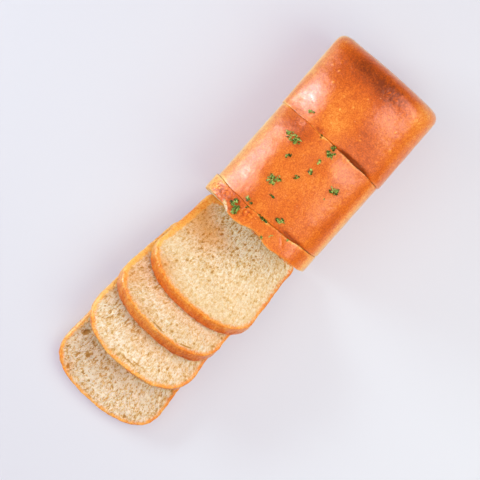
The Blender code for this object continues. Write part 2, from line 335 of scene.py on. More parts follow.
@dataclass(frozen=True)
class CutFace:
    """An end face of an upright piece: its place along X, skew and bow across Y, lean, edge radii.

    left_share is the edge radius at the left side over the one at the right. wave is how uneven the
    knife's line is. lip gives, for places across Y, how far the crown's torn edge hangs out.
    """

    place: float
    end: End
    skew: float = 0.0
    bow: float = 0.0
    lean: float = 0.0
    top_radius: float = 2.5 * MM
    side_radius: float = 1.8 * MM
    steps: int = 2
    left_share: float = 1.0
    wave: float = 0.0
    lip: tuple[tuple[float, float], ...] = ((0.0, 0.0),)
    cut: bool = True

    def at(self, y: np.ndarray, z: np.ndarray) -> np.ndarray:
        """X of the face.

        Args:
            y: places across.
            z: their heights.

        Returns:
            One X for each place.
        """
        across = y / (LOAF_WIDTH / 2)
        x = self.place + self.skew * across - self.bow * (1 - across * across)
        x = x + self.lean * (1 - z / LOAF_HEIGHT)
        x = x + self.wave * (np.sin(y / SHORT_WAVE) + 0.7 * np.sin(y / LONG_WAVE + 2))
        spots, reaches = np.array(self.lip).T
        return x - smooth_step(z, LIP_FROM, LIP_SPAN) * np.interp(y, spots, reaches)

    def radius(self, y: np.ndarray, z: np.ndarray) -> np.ndarray:
        """The edge's radius, which is larger over the crown.

        Args:
            y: places across.
            z: their heights.

        Returns:
            One radius for each place.
        """
        share = smooth_step(z, ROUNDER_FROM, LOAF_HEIGHT - ROUNDER_FROM)
        left = smooth_step(y / (LOAF_WIDTH / 2), -0.3, 0.6)
        radius = self.side_radius + (self.top_radius - self.side_radius) * share
        return radius * (1 + (self.left_share - 1) * left)


@dataclass(frozen=True)
class Swell:
    """A round rise or dip in the crown."""

    x: float
    y: float
    radius: float
    height: float

    def at(self, x: np.ndarray, y: np.ndarray) -> np.ndarray:
        """Height that the swell adds at each place."""
        return self.height * np.exp(-((x - self.x) ** 2 + (y - self.y) ** 2) / self.radius**2)


@dataclass(frozen=True)
class Stroke:
    """One soft brush stroke: where it lies, how far it reaches each way, how much it adds, its turn."""

    x: float
    y: float
    reach_x: float
    reach_y: float
    amount: float
    turn: float = 0.0

    def at(self, x: np.ndarray, y: np.ndarray) -> np.ndarray:
        """What the stroke adds at each place."""
        along, aside = turned(x - self.x, y - self.y, self.turn)
        return self.amount * np.exp(-((along / self.reach_x) ** 2) - (aside / self.reach_y) ** 2)


def painted(strokes: tuple[Stroke, ...], x: np.ndarray, y: np.ndarray) -> np.ndarray:
    """What all of the strokes add up to at each place."""
    return sum((stroke.at(x, y) for stroke in strokes), np.zeros(len(x)))


@dataclass(frozen=True)
class Hole:
    """One gas hole or crease in a cut face: its middle, width, length, depth and turn."""

    y: float
    z: float
    width: float
    length: float
    depth: float
    turn: float = 0.0

    def press(self, depths: np.ndarray, flat: np.ndarray, tree: KDTree) -> None:
        """Presses the oval hole into a face.

        Args:
            depths: the face's depths so far, changed in place.
            flat: rows of (y, z) for the face's points.
            tree: finds those points by place.
        """
        reach = max(self.length, self.width) / 2
        found = np.array([hit[1] for hit in tree.find_range((self.y, self.z, 0), reach)], int)
        if len(found):
            along, aside = turned(*(flat[found] - (self.y, self.z)).T, self.turn)
            away = (along / (self.length / 2)) ** 2 + (aside / (self.width / 2)) ** 2
            depths[found] = np.maximum(depths[found], self.depth * np.maximum(1 - away, 0) ** 0.6)


@dataclass(frozen=True)
class Crumb:
    """How open the crumb of a cut face is: its gas holes' number, sizes, depth and slant."""

    spacing: float = 2.0 * MM
    smallest: float = 1.1 * MM
    usual: float = 1.6 * MM
    spread: float = 0.36
    largest: float = 3.4 * MM
    depth_share: float = 0.16
    deepest: float = 0.8 * MM
    stretch: float = 1.5
    rind: float = 1.5 * MM

    def pits(
        self, flat: np.ndarray, edge: np.ndarray, section: Section, holes: tuple[Hole, ...], seed: int
    ) -> np.ndarray:
        """Depth of the gas holes at each point of a cut face.

        Args:
            flat: rows of (y, z) for the face's points.
            edge: how far each point lies from the outline.
            section: the outline.
            holes: the large holes.
            seed: settles where the small ones lie.

        Returns:
            One depth in metres for each point.
        """
        draw = random.Random(seed)
        tree = finder(flat)
        depths = np.zeros(len(flat))
        for hole in holes:
            hole.press(depths, flat, tree)
        for _ in range(int(section.width * section.height / self.spacing**2)):
            y = draw.uniform(-0.5, 0.5) * section.width
            z = draw.uniform(0, 1) * section.height
            size = min(max(self.usual * math.exp(draw.gauss(0, self.spread)), self.smallest), self.largest)
            slant = math.atan2(z + 0.35 * section.height, y) + draw.gauss(0, 0.4)
            stretch = 1 + (self.stretch - 1) * draw.uniform(0.3, 1.8)
            _, nearest, away = tree.find((y, z, 0))
            if away < self.usual and edge[nearest] > self.rind:
                depth = min(self.depth_share * size, self.deepest)
                Hole(y, z, size, size * stretch, depth, math.degrees(slant)).press(depths, flat, tree)
        return depths


class Sketch:
    """Adds and wires nodes in one node tree."""

    def __init__(self, tree: bpy.types.NodeTree) -> None:
        """Starts on a tree."""
        self.tree = tree

    def wire(self, sockets: bpy.types.NodeInputs, values: dict[str | int, Value | Colour]) -> None:
        """Sets inputs to values or to other nodes' outputs.

        Args:
            sockets: a node's inputs.
            values: a value or an output for each of them, by name or number.
        """
        for key, value in values.items():
            if isinstance(value, bpy.types.NodeSocket):
                self.tree.links.new(value, sockets[key])
            else:
                sockets[key].default_value = value

    def node(self, kind: str, inputs: dict | None = None, **settings: object) -> bpy.types.Node:
        """Adds a node.

        Args:
            kind: the node's type name.
            inputs: values or sockets for its inputs, by name or number.
            settings: the node's own properties.

        Returns:
            The new node.
        """
        made = self.tree.nodes.new(kind)
        for key, value in settings.items():
            setattr(made, key, value)
        self.wire(made.inputs, inputs or {})
        return made

    def math(
        self, operation: str, a: Value, b: Value = 0.0, c: Value = 0.0, clamp: bool = False
    ) -> bpy.types.NodeSocket:
        """The result of a sum on two or three values or sockets."""
        made = self.node("ShaderNodeMath", {0: a, 1: b, 2: c}, operation=operation, use_clamp=clamp)
        return made.outputs[0]

    def add(self, first: Value, *others: Value) -> bpy.types.NodeSocket:
        """Adds up values or sockets.

        Args:
            first: the first of them.
            others: all the others.

        Returns:
            Their sum.
        """
        for other in others:
            first = self.math("ADD", first, other)
        return first

    def times(self, a: Value, b: Value) -> bpy.types.NodeSocket:
        """Two values or sockets multiplied."""
        return self.math("MULTIPLY", a, b)

    def ease(
        self, value: Value, low: float, high: float, start: float = 0.0, end: float = 1.0
    ) -> bpy.types.NodeSocket:
        """Maps a value from low..high to start..end with soft ends."""
        inputs = {"Value": value, "From Min": low, "From Max": high, "To Min": start, "To Max": end}
        return self.node("ShaderNodeMapRange", inputs, interpolation_type="SMOOTHSTEP").outputs["Result"]

    def sway(self, value: Value, amount: float, spread: float = 0.2) -> bpy.types.NodeSocket:
        """A noise about 0.5, as a change of up to this amount either way."""
        return self.ease(value, 0.5 - spread, 0.5 + spread, -amount, amount)

    def thread(self, value: Value, width: float) -> bpy.types.NodeSocket:
        """1 along the lines where a noise is 0.5, falling to 0 at this width beside them."""
        return self.ease(self.math("ABSOLUTE", self.math("SUBTRACT", value, 0.5)), 0.0, width, 1.0, 0.0)

    def mix(self, share: Value, a: Value, b: Value | Colour, blend: str = "MIX") -> bpy.types.NodeSocket:
        """Two colours blended by a share."""
        inputs = {0: share, 6: a, 7: b}
        return self.node("ShaderNodeMix", inputs, data_type="RGBA", blend_type=blend).outputs[2]

    def noise(
        self, place: Value, size: float, detail: float = 2.0, roughness: float = 0.5
    ) -> bpy.types.NodeSocket:
        """Noise from 0 to 1 whose lumps are about as wide as size, in the place's own unit."""
        inputs = {"Vector": place, "Scale": 1 / size, "Detail": detail, "Roughness": roughness}
        return self.node("ShaderNodeTexNoise", inputs).outputs["Fac"]

    def cells(self, place: Value, size: float) -> tuple[bpy.types.NodeSocket, bpy.types.NodeSocket]:
        """Scatters cells.

        Args:
            place: the socket that gives each place.
            size: how wide a cell is, about.

        Returns:
            The distance from the middle of the nearest cell, and that cell's own random share.
        """
        made = self.node("ShaderNodeTexVoronoi", {"Vector": place, "Scale": 1 / size})
        pick = self.node("ShaderNodeSeparateColor", {"Color": made.outputs["Color"]})
        return made.outputs["Distance"], pick.outputs["Red"]

    def bump(self, height: Value, strength: float, distance: float, **inputs: Value) -> bpy.types.NodeSocket:
        """The normal of a surface with fine relief."""
        values = {"Height": height, "Strength": strength, "Distance": distance}
        return self.node("ShaderNodeBump", values | inputs).outputs["Normal"]

    def ramp(self, value: Value, stops: tuple[tuple[float, Colour], ...]) -> bpy.types.NodeSocket:
        """Colours along a value.

        Args:
            value: the socket that picks the colour.
            stops: places from 0 to 1, each with its colour.

        Returns:
            The colour.
        """
        made = self.node("ShaderNodeValToRGB", {"Fac": value})
        made.color_ramp.interpolation = "B_SPLINE"
        bar = made.color_ramp.elements
        while len(bar) < len(stops):
            bar.new(1.0)
        for element, (place, colour) in zip(bar, stops):
            element.position, element.color = place, colour
        return made.outputs["Color"]

    def attribute(self, name: str, output: str = "Fac") -> bpy.types.NodeSocket:
        """What a piece's own mesh keeps under this name."""
        return self.node("ShaderNodeAttribute", attribute_name=name).outputs[output]


class Group(Sketch):
    """A node group in the making: given are its inputs' sockets, and result takes its outputs."""

    def __init__(self, name: str, inputs: dict[str, str], outputs: dict[str, str]) -> None:
        """Starts a group.

        Args:
            name: the group's name.
            inputs: each input's name and kind.
            outputs: each output's name and kind.
        """
        super().__init__(bpy.data.node_groups.new(name, "ShaderNodeTree"))
        for way, sockets in (("INPUT", inputs), ("OUTPUT", outputs)):
            for label, kind in sockets.items():
                self.tree.interface.new_socket(label, in_out=way, socket_type="NodeSocket" + kind)
        self.given = self.node("NodeGroupInput").outputs
        self.result = self.node("NodeGroupOutput").inputs


def new_material(name: str) -> tuple[bpy.types.Material, Sketch, bpy.types.NodeInputs]:
    """Starts a material.

    Args:
        name: its name.

    Returns:
        The material, a sketch on its nodes, and its shader's inputs.
    """
    made = bpy.data.materials.new(name)
    made.use_nodes = True
    return made, Sketch(made.node_tree), made.node_tree.nodes["Principled BSDF"].inputs


def screen(red: int, green: int, blue: int) -> Colour:
    """A screen colour of 0 to 255 as the linear colour a shader takes."""
    shares = (red / 255, green / 255, blue / 255)
    return *(v / 12.92 if v <= 0.04045 else ((v + 0.055) / 1.055) ** 2.4 for v in shares), 1.0


@dataclass(frozen=True)
class CrustTones:
    """A baked crust's colours, from its palest edges to its darkest patch, and its pattern's sizes."""

    palest: Colour = screen(255, 208, 112)
    pale: Colour = screen(246, 161, 62)
    golden: Colour = screen(231, 120, 26)
    orange: Colour = screen(208, 92, 14)
    deep: Colour = screen(174, 76, 14)
    dark: Colour = screen(126, 52, 14)
    fleck_tone: Colour = screen(255, 190, 120)
    broad: float = 14 * MM
    mottle: float = 3.2 * MM
    grain: float = 1.7 * MM
    dust: float = 1.0 * MM
    fleck: float = 5.5 * MM

    def group(self) -> bpy.types.NodeTree:
        """The node group that gives colour, gloss and grain from how brown each place is."""
        outputs = {"Colour": "Color", "Roughness": "Float", "Height": "Float"}
        sketch = Group("baked_crust", {"Place": "Vector", "Brown": "Float"}, outputs)
        place = sketch.given["Place"]
        mottle = sketch.noise(place, self.mottle, 3, 0.62)
        grain = sketch.noise(place, self.grain, 2, 0.6)
        shade = sketch.add(
            sketch.given["Brown"],
            sketch.sway(sketch.noise(place, self.broad, 3), 0.05),
            sketch.sway(mottle, 0.05),
            sketch.sway(grain, 0.05, 0.18),
        )
        shade = sketch.math("ADD", shade, sketch.sway(sketch.noise(place, self.dust, 1), 0.09), clamp=True)
        named = (self.palest, self.pale, self.golden, self.orange, self.deep, self.dark)
        colour = sketch.ramp(shade, tuple((i / 5, tone) for i, tone in enumerate(named)))
        away, pick = sketch.cells(place, self.fleck)
        fleck = sketch.times(sketch.ease(away, 0.04, 0.13, 1, 0), sketch.math("GREATER_THAN", pick, 0.6))
        height = sketch.add(sketch.times(mottle, 0.5), sketch.times(grain, 0.6), sketch.times(fleck, 0.4))
        result = {
            "Colour": sketch.mix(sketch.times(fleck, 0.4), colour, self.fleck_tone),
            "Roughness": sketch.ease(mottle, 0.3, 0.7, 0.30, 0.40),
            "Height": height,
        }
        sketch.wire(sketch.result, result)
        return sketch.tree


@dataclass(frozen=True)
class CrumbTones:
    """The crumb's colours, from the walls between its holes to the pits' painted shade, and its pattern's
    sizes.
    """

    wall: Colour = screen(252, 246, 227)
    strand: Colour = screen(241, 221, 178)
    pit: Colour = screen(231, 196, 130)
    deep_pit_shade: Colour = screen(192, 145, 74)
    toast_and_shade_tint: Colour = screen(242, 182, 102)
    warp: float = 3 * MM
    bend: float = 2 * MM
    pore: float = 2.0 * MM
    web: float = 2.3 * MM
    thread: float = 1.5 * MM
    fine: float = 0.95 * MM
    cloud: float = 6 * MM

    def group(self) -> bpy.types.NodeTree:
        """The node group that gives colour and grain from how deep each place lies in a gas hole, which it
        darkens as painted shade.
        """
        inputs = {"Place": "Vector", "Pit": "Float", "Tan": "Float", "Open": "Float"}
        sketch = Group("open_crumb", inputs, {"Colour": "Color", "Height": "Float"})
        place, pit, tan, openness = (sketch.given[label] for label in inputs)
        warp = sketch.node("ShaderNodeTexNoise", {"Vector": place, "Scale": 1 / self.warp, "Detail": 2.0})
        scaled = {0: warp.outputs["Color"], 3: self.bend}
        bend = sketch.node("ShaderNodeVectorMath", scaled, operation="SCALE").outputs[0]
        bent = sketch.node("ShaderNodeVectorMath", {0: place, 1: bend}, operation="ADD").outputs[0]
        away, pick = sketch.cells(bent, self.pore)
        pore = sketch.times(sketch.ease(away, 0.1, 0.65, 1.0, 0.0), sketch.ease(pick, 0.1, 1.0, 0.1, 1.0))
        web = sketch.noise(bent, self.web, 3, 0.6)
        fine = sketch.noise(place, self.fine, 2, 0.6)
        strand = sketch.thread(web, 0.07)
        # Painted shade: the colour darkens down the gas holes and pores, and is paler along the strands.
        depth = sketch.add(
            sketch.math("MULTIPLY_ADD", pore, 0.28, 0.36),
            sketch.times(pit, 0.3),
            sketch.ease(pit, 0.35, 0.85, 0.0, 0.85),
            sketch.times(strand, -0.2),
            sketch.times(sketch.thread(sketch.noise(bent, self.thread, 1), 0.08), -0.27),
            sketch.sway(web, -0.36, 0.25),
            sketch.ease(fine, 0.25, 0.75, -0.34, 0.44),
            sketch.sway(sketch.noise(place, self.cloud, 2), 0.17, 0.25),
        )
        depth = sketch.math("MULTIPLY_ADD", sketch.math("SUBTRACT", depth, 0.46), openness, 0.42)
        depth = sketch.math("MULTIPLY_ADD", tan, -0.12, depth, clamp=True)
        stops = ((0.06, self.wall), (0.32, self.strand), (0.68, self.pit), (1.0, self.deep_pit_shade))
        relief = sketch.add(sketch.times(fine, 0.5), sketch.times(strand, 0.5))
        result = {
            # The tan share tints the crumb: toast in places, and painted shade where other bread shades it.
            "Colour": sketch.mix(tan, sketch.ramp(depth, stops), self.toast_and_shade_tint, "MULTIPLY"),
            "Height": sketch.times(sketch.math("MULTIPLY_ADD", pore, -0.8, relief), openness),
        }
        sketch.wire(sketch.result, result)
        return sketch.tree


class BreadFinish:
    """The finish of a bread piece: glossy crust where it was baked, matt open crumb where it was cut."""

    # Between these depths in mm the crust gives way to crumb, and the line between them strays this far.
    CRUST_TO, CRUMB_FROM, STRAYS = 2.4, 5.4, 7.0

    def __init__(self, crust: CrustTones, crumb: CrumbTones) -> None:
        """Builds the shared groups."""
        self.crust_group, self.crumb_group = crust.group(), crumb.group()

    def material(self, name: str, coat_weight: float) -> bpy.types.Material:
        """The bread material.

        Args:
            name: the material's name.
            coat_weight: how glossy the crust is, from 0 to 1.

        Returns:
            A material that reads what BreadPiece.keep keeps.
        """
        made, sketch, shader = new_material(name)
        flat = sketch.attribute("flat", "Vector")
        baked = {"Place": flat, "Brown": sketch.attribute("brown")}
        crust = sketch.node("ShaderNodeGroup", node_tree=self.crust_group)
        sketch.wire(crust.inputs, baked)
        opened = {"Place": sketch.attribute("grain", "Vector")}
        opened |= {label: sketch.attribute(label.lower()) for label in ("Pit", "Tan", "Open")}
        crumb = sketch.node("ShaderNodeGroup", node_tree=self.crumb_group)
        sketch.wire(crumb.inputs, opened)
        ragged = sketch.math("SUBTRACT", sketch.noise(flat, 2.5 * MM, 3, 0.65), 0.28)
        inside = sketch.math("MULTIPLY_ADD", ragged, self.STRAYS, sketch.attribute("edge_mm"))
        inside = sketch.ease(inside, self.CRUST_TO, self.CRUMB_FROM)
        crumbed = sketch.times(inside, sketch.attribute("cut"))
        matt = sketch.times(sketch.ease(crumbed, 0.0, 0.5), 0.9)
        baked_normal = sketch.bump(crust.outputs["Height"], 0.8, 0.6 * MM)
        relief = sketch.times(crumb.outputs["Height"], crumbed)
        worn = sketch.math("MAXIMUM", crumbed, sketch.times(sketch.attribute("dull"), 0.3))
        values = {
            "Base Color": sketch.mix(crumbed, crust.outputs["Colour"], crumb.outputs["Colour"]),
            "Roughness": sketch.math("MAXIMUM", crust.outputs["Roughness"], matt),
            "Normal": sketch.bump(relief, 0.9, 0.7 * MM, Normal=baked_normal),
            "Coat Weight": sketch.ease(worn, 0.0, 0.35, coat_weight, 0.0),
            "Coat Roughness": 0.3,
            "Specular IOR Level": 0.2,
            "Subsurface Weight": 0.1,
            "Subsurface Radius": (1.0, 0.45, 0.2),
            "Subsurface Scale": 1.6 * MM,
        }
        sketch.wire(shader, values)
        return made


# Fine relief of an upright piece: its crust's wrinkles and grain, what scuffs add, and its rims' line.
WRINKLES = Ripples(6, 0.16)
GRAIN = Ripples(2.2, 0.06, 2)
SCUFFED = Ripples(2.4, 0.3)
RAGGED_RIM = Ripples(3.5, 0.9)

# Fine relief of a slice: its cut faces' unevenness and grain, its crust's wrinkles, and how it sways.
UNEVEN = Ripples(14, 0.35, 2)
UNEVEN_GRAIN = Ripples(4, 0.12, 2)
SLICE_WRINKLES = Ripples(3, 0.3)
SWAY_ACROSS = Ripples(13, 0.7)
SWAY_UP = Ripples(11, 0.6)

# Where the sides turn golden again, how wide the pale rims are, and the scuffs' and tears' sizes.
GOLDEN_BELOW, GOLDEN_SPAN = 80 * MM, 35 * MM
RIM_WIDTH = 1.3 * MM
SCUFF_MOTTLE = 2.0 * MM
TEAR_EDGE = 6 * MM

# Crumb beside the crust is toast-coloured, about this far in and fully so from this height up. Its pores are
# this much taller than wide, and the darkest ones are this deep.
TAN_WIDTH, TAN_FROM = 3 * MM, 14 * MM
PORE_STRETCH = 1.7
DARKEST_PIT = 0.8 * MM

# Streaks in the browning of a slice's crust: how wide, and how many times as long through the slice.
STREAK_WIDTH, STREAK_STRETCH = 2.5 * MM, 6

# Parsley lands only on what is higher than this.
LOWEST_PARSLEY = 0.6 * LOAF_HEIGHT


@dataclass(frozen=True, kw_only=True)
class BreadPiece:
    """What all bread pieces share: how a block of steps becomes a smooth solid with relief.

    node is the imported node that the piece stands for.
    """

    name: str
    node: str
    seed: int
    section: Section
    crumb: Crumb = Crumb()
    across_steps: int = 36
    up_steps: int = 33
    levels: int = 2

    def steps(self, u: np.ndarray, v: np.ndarray) -> tuple[np.ndarray, np.ndarray]:
        """Step numbers across and up for places on the grid."""
        across, up = (u + 1) / 2 * self.across_steps, (v + 1) / 2 * self.up_steps
        return np.rint(across).astype(int), np.rint(up).astype(int)

    def cap(self, edge: np.ndarray, u: np.ndarray, v: np.ndarray) -> np.ndarray:
        """Fills a ring of points with an even sheet.

        Args:
            edge: rows round the ring, counter-clockwise from the left base corner.
            u: each wanted place across the sheet, from -1 to 1.
            v: each wanted place up the sheet, from -1 to 1.

        Returns:
            One row for each place.
        """
        n, m = self.across_steps, self.up_steps
        base, right = edge[: n + 1], edge[n : n + m + 1]
        crown = edge[n + m : 2 * n + m + 1][::-1]
        left = np.concatenate([edge[2 * n + m :], edge[:1]])[::-1]
        i, j = self.steps(u, v)
        s, t = ((u + 1) / 2)[:, None], ((v + 1) / 2)[:, None]
        ruled = (1 - t) * base[i] + t * crown[i] + (1 - s) * left[j] + s * right[j]
        corners = (1 - t) * ((1 - s) * base[0] + s * base[-1]) + t * ((1 - s) * crown[0] + s * crown[-1])
        return ruled - corners

    def ring_index(self, u: np.ndarray, v: np.ndarray) -> np.ndarray:
        """Matches the edge of the grid to a ring.

        Args:
            u: places across the grid, from -1 to 1.
            v: places up the grid, from -1 to 1.

        Returns:
            The ring's point number for each place.
        """
        n, m = self.across_steps, self.up_steps
        i, j = self.steps(u, v)
        index = np.where(v > GRID_EDGE, n + m + (n - i), 2 * n + m + (m - j))
        index = np.where(u > GRID_EDGE, n + j, index)
        index = np.where(v < -GRID_EDGE, i, index)
        return index % (2 * (n + m))

    def shaped_block(self, rings: list[np.ndarray], front: Surface, back: Surface) -> bpy.types.Object:
        """Extrudes a grid through as many layers as there are rings, and fits it to them.

        Args:
            rings: rows of (x, y, z) for each layer, from the front face to the back face.
            front: gives X over the front face from y and z.
            back: gives X over the back face.

        Returns:
            The piece, with how far each vertex belongs to one of the two faces kept as sheet.
        """
        made = block(self.name, self.across_steps, self.up_steps, len(rings) - 1)
        grid = read(made.data.vertices, "co")
        u, v, layer = grid[:, 0], grid[:, 1], np.rint(grid[:, 2]).astype(int)
        shaped, sheets = np.zeros_like(grid), np.zeros(len(grid))
        on_edge = np.maximum(abs(u), abs(v)) > GRID_EDGE
        shaped[on_edge] = np.array(rings)[layer[on_edge], self.ring_index(u[on_edge], v[on_edge])]
        for end, number, depth in ((End.FRONT, 0, front), (End.BACK, len(rings) - 1, back)):
            inside = ~on_edge & (layer == number)
            filled = self.cap(rings[number], u[inside], v[inside])
            filled[:, 0] = depth(filled[:, 1], filled[:, 2])
            shaped[inside] = filled
            sheets[layer == number] = end.value
        move_to(made.data, shaped)
        store(made.data, "sheet", sheets)
        modify(made, "SUBSURF", levels=self.levels, render_levels=self.levels)
        return made

    def open_faces(
        self, mesh: bpy.types.Mesh, flat: np.ndarray, faces: dict[End, tuple[Hole, ...]]
    ) -> tuple[np.ndarray, np.ndarray, np.ndarray]:
        """Opens the crumb on each face that a knife has cut.

        Args:
            mesh: the piece's mesh.
            flat: each vertex's place in the straight loaf or the flat slice.
            faces: the large holes of each cut face.

        Returns:
            Cut share, distance from the outline and pit depth, for each vertex.
        """
        sheet = read(mesh.attributes["sheet"].data, "value", 1)[:, 0]
        cut, edge, pits = np.zeros((3, len(flat)))
        for end, holes in faces.items():
            on_face = sheet * end.value > 0.5
            across = flat[on_face][:, 1:]
            cut[on_face] = 1.0
            edge[on_face] = self.section.edge_distance(across)
            pits[on_face] = self.crumb.pits(across, edge[on_face], self.section, holes, self.seed + end.value)
        return cut, edge, pits

    def keep(
        self,
        mesh: bpy.types.Mesh,
        flat: np.ndarray,
        edge: np.ndarray,
        pits: np.ndarray,
        tan: np.ndarray,
        striped: float = 1.0,
        **shares: np.ndarray,
    ) -> None:
        """Keeps what the bread material reads.

        Args:
            mesh: the piece's mesh.
            flat: each vertex's place in the straight loaf or the flat slice.
            edge: how far inside the crust it lies.
            pits: how deep in a gas hole it lies.
            tan: how much its crumb is tinted: toast beside the crust, painted shade where other bread shades
                it, and painted light where strokes pale it.
            striped: how much the crust's grain is drawn out through the depth.
            shares: cut is 1 on a cut face and 0 on the crust, brown is how brown the crust is, open
                how strongly the crumb's pores show, and dull how much of the gloss is scuffed away.
        """
        fan = 0.75 + 0.5 * flat[:, 2] / LOAF_HEIGHT
        rim = 0.5 * np.exp(-np.maximum(edge, 0) / TAN_WIDTH) * smooth_step(flat[:, 2], 0, TAN_FROM)
        kept = {
            "flat": flat / (striped, 1, 1),
            "grain": np.column_stack([flat[:, 0], flat[:, 1] / fan, flat[:, 2] / PORE_STRETCH]),
            "edge_mm": edge / MM,
            "pit": np.clip(pits / DARKEST_PIT, 0, 1),
            "tan": np.clip(tan + rim, 0, 1),
        }
        for name, values in (kept | shares).items():
            store(mesh, name, values)


@dataclass(frozen=True, kw_only=True)
class Upright(BreadPiece):
    """An upright length of the loaf between two faces: its crust, its parsley's bed and its cut ends.

    across is where it stands across Y at each end. strokes brown its crust, and some paint shade into
    its seams' grooves and partly onto the heel's rounded end; rims pale it along the cuts, relief raises it,
    scuffs roughen and dull it, and tears bare the crumb. side_pale is how much paler its left and right
    sides are, and side_golden how much of that comes back low down.
    """

    front: CutFace
    back: CutFace
    across: tuple[float, float]
    body_steps: int
    swells: tuple[Swell, ...]
    strokes: tuple[Stroke, ...]
    rims: tuple[Stroke, ...]
    relief: tuple[Stroke, ...]
    scuffs: tuple[Stroke, ...] = ()
    tears: tuple[Stroke, ...] = ()
    usual_brown: float = 0.45
    side_pale: tuple[float, float] = (0.42, 0.22)
    side_golden: tuple[float, float] = (0.26, 0.08)
    openness: float = 0.75

    def rings(self) -> list[np.ndarray]:
        """Rows of (x, y, z) for each layer, from the front face to the back face."""
        outline = self.section.ring(self.across_steps, self.up_steps)
        into = self.section.inward(outline)
        ends = []
        for face in (self.front, self.back):
            radius = face.radius(outline[:, 0], outline[:, 1])
            rows = []
            for turn in (math.pi / 2 * step / face.steps for step in range(face.steps + 1)):
                moved = outline + into * (radius * (1 - math.cos(turn)))[:, None]
                x = face.at(moved[:, 0], moved[:, 1]) - face.end.value * radius * (1 - math.sin(turn))
                rows.append(np.column_stack([x, moved]))
            ends.append(rows)
        front, back = ends
        length = back[0] - front[0]
        body = [front[0] + length * step / self.body_steps for step in range(1, self.body_steps)]
        return front[::-1] + body + back

    def build(self, shift: Vector, finish: bpy.types.Material) -> bpy.types.Object:
        """Shapes, bakes and places the piece.

        Args:
            shift: from the loaf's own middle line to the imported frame.
            finish: the bread material.

        Returns:
            The finished piece.
        """
        made = self.shaped_block(self.rings(), self.front.at, self.back.at)
        mesh = made.data
        flat = read(mesh.vertices, "co")
        rows = flat.copy()
        x, y, z = rows.T
        start, end = self.across
        y += start + (end - start) * ((x - self.front.place) / (self.back.place - self.front.place))
        z += smooth_step(z, SWELL_FROM, SWELL_SPAN) * sum(swell.at(x, y) for swell in self.swells)
        move_to(mesh, rows)
        faces = {face.end: () for face in (self.front, self.back) if face.cut}
        cut, edge, pits = self.open_faces(mesh, flat, faces)
        normals = read(mesh.vertex_normals, "vector")
        brown = self.browning(flat, rows, normals)
        scuffed = painted(self.scuffs, x, y)
        fine = WRINKLES.at(rows, self.seed) + GRAIN.at(rows, 7) + SCUFFED.at(rows, 5) * scuffed
        fine += painted(self.relief, x, y)
        torn = np.where(normals[:, 2] > 0, painted(self.tears, x, y), 0)
        rows = rows + normals * (fine * (1 - cut) - pits)[:, None] + np.array(shift)
        rows[:, 2] = np.maximum(rows[:, 2], 0)
        move_to(mesh, rows)
        none = np.zeros(len(rows))
        shares = {
            "cut": np.maximum(cut, smooth_step(2 * torn)),
            "brown": brown,
            "open": none + self.openness,
            "dull": np.clip(scuffed, 0, 1),
        }
        self.keep(mesh, flat, np.maximum(edge, TEAR_EDGE * torn), pits, none, **shares)
        mesh.materials.append(finish)
        return made

    def browning(self, flat: np.ndarray, rows: np.ndarray, normals: np.ndarray) -> np.ndarray:
        """How brown the crust is at each vertex, from 0 to 1: paler down the sides and along the cuts.

        Args:
            flat: each vertex's place in the straight loaf.
            rows: its place in the swollen loaf.
            normals: its direction.

        Returns:
            One share for each vertex.
        """
        x, y, z = rows.T
        left = normals[:, 1] > 0
        upright = 1 - smooth_step(normals[:, 2], -0.1, 0.3)
        brown = self.usual_brown + painted(self.strokes, x, y) * (1 - 0.8 * upright)
        brown -= (1 - smooth_step(normals[:, 2], 0.05, 0.5)) * np.where(left, *self.side_pale)
        brown += upright * np.where(left, *self.side_golden) * smooth_step(-z, -GOLDEN_BELOW, GOLDEN_SPAN)
        ragged = RAGGED_RIM.at(rows, 11)
        rim = painted(self.rims, x, y)
        for face in (self.front, self.back):
            if face.cut:
                near = np.maximum(abs(flat[:, 0] - face.at(flat[:, 1], flat[:, 2])) + ragged, 0)
                brown -= rim * np.exp(-((near / RIM_WIDTH) ** 2))
        brown += painted(self.scuffs, x, y) * 0.5 * ripple(rows, SCUFF_MOTTLE, 3, 23)
        return np.clip(brown, 0.0, 1)


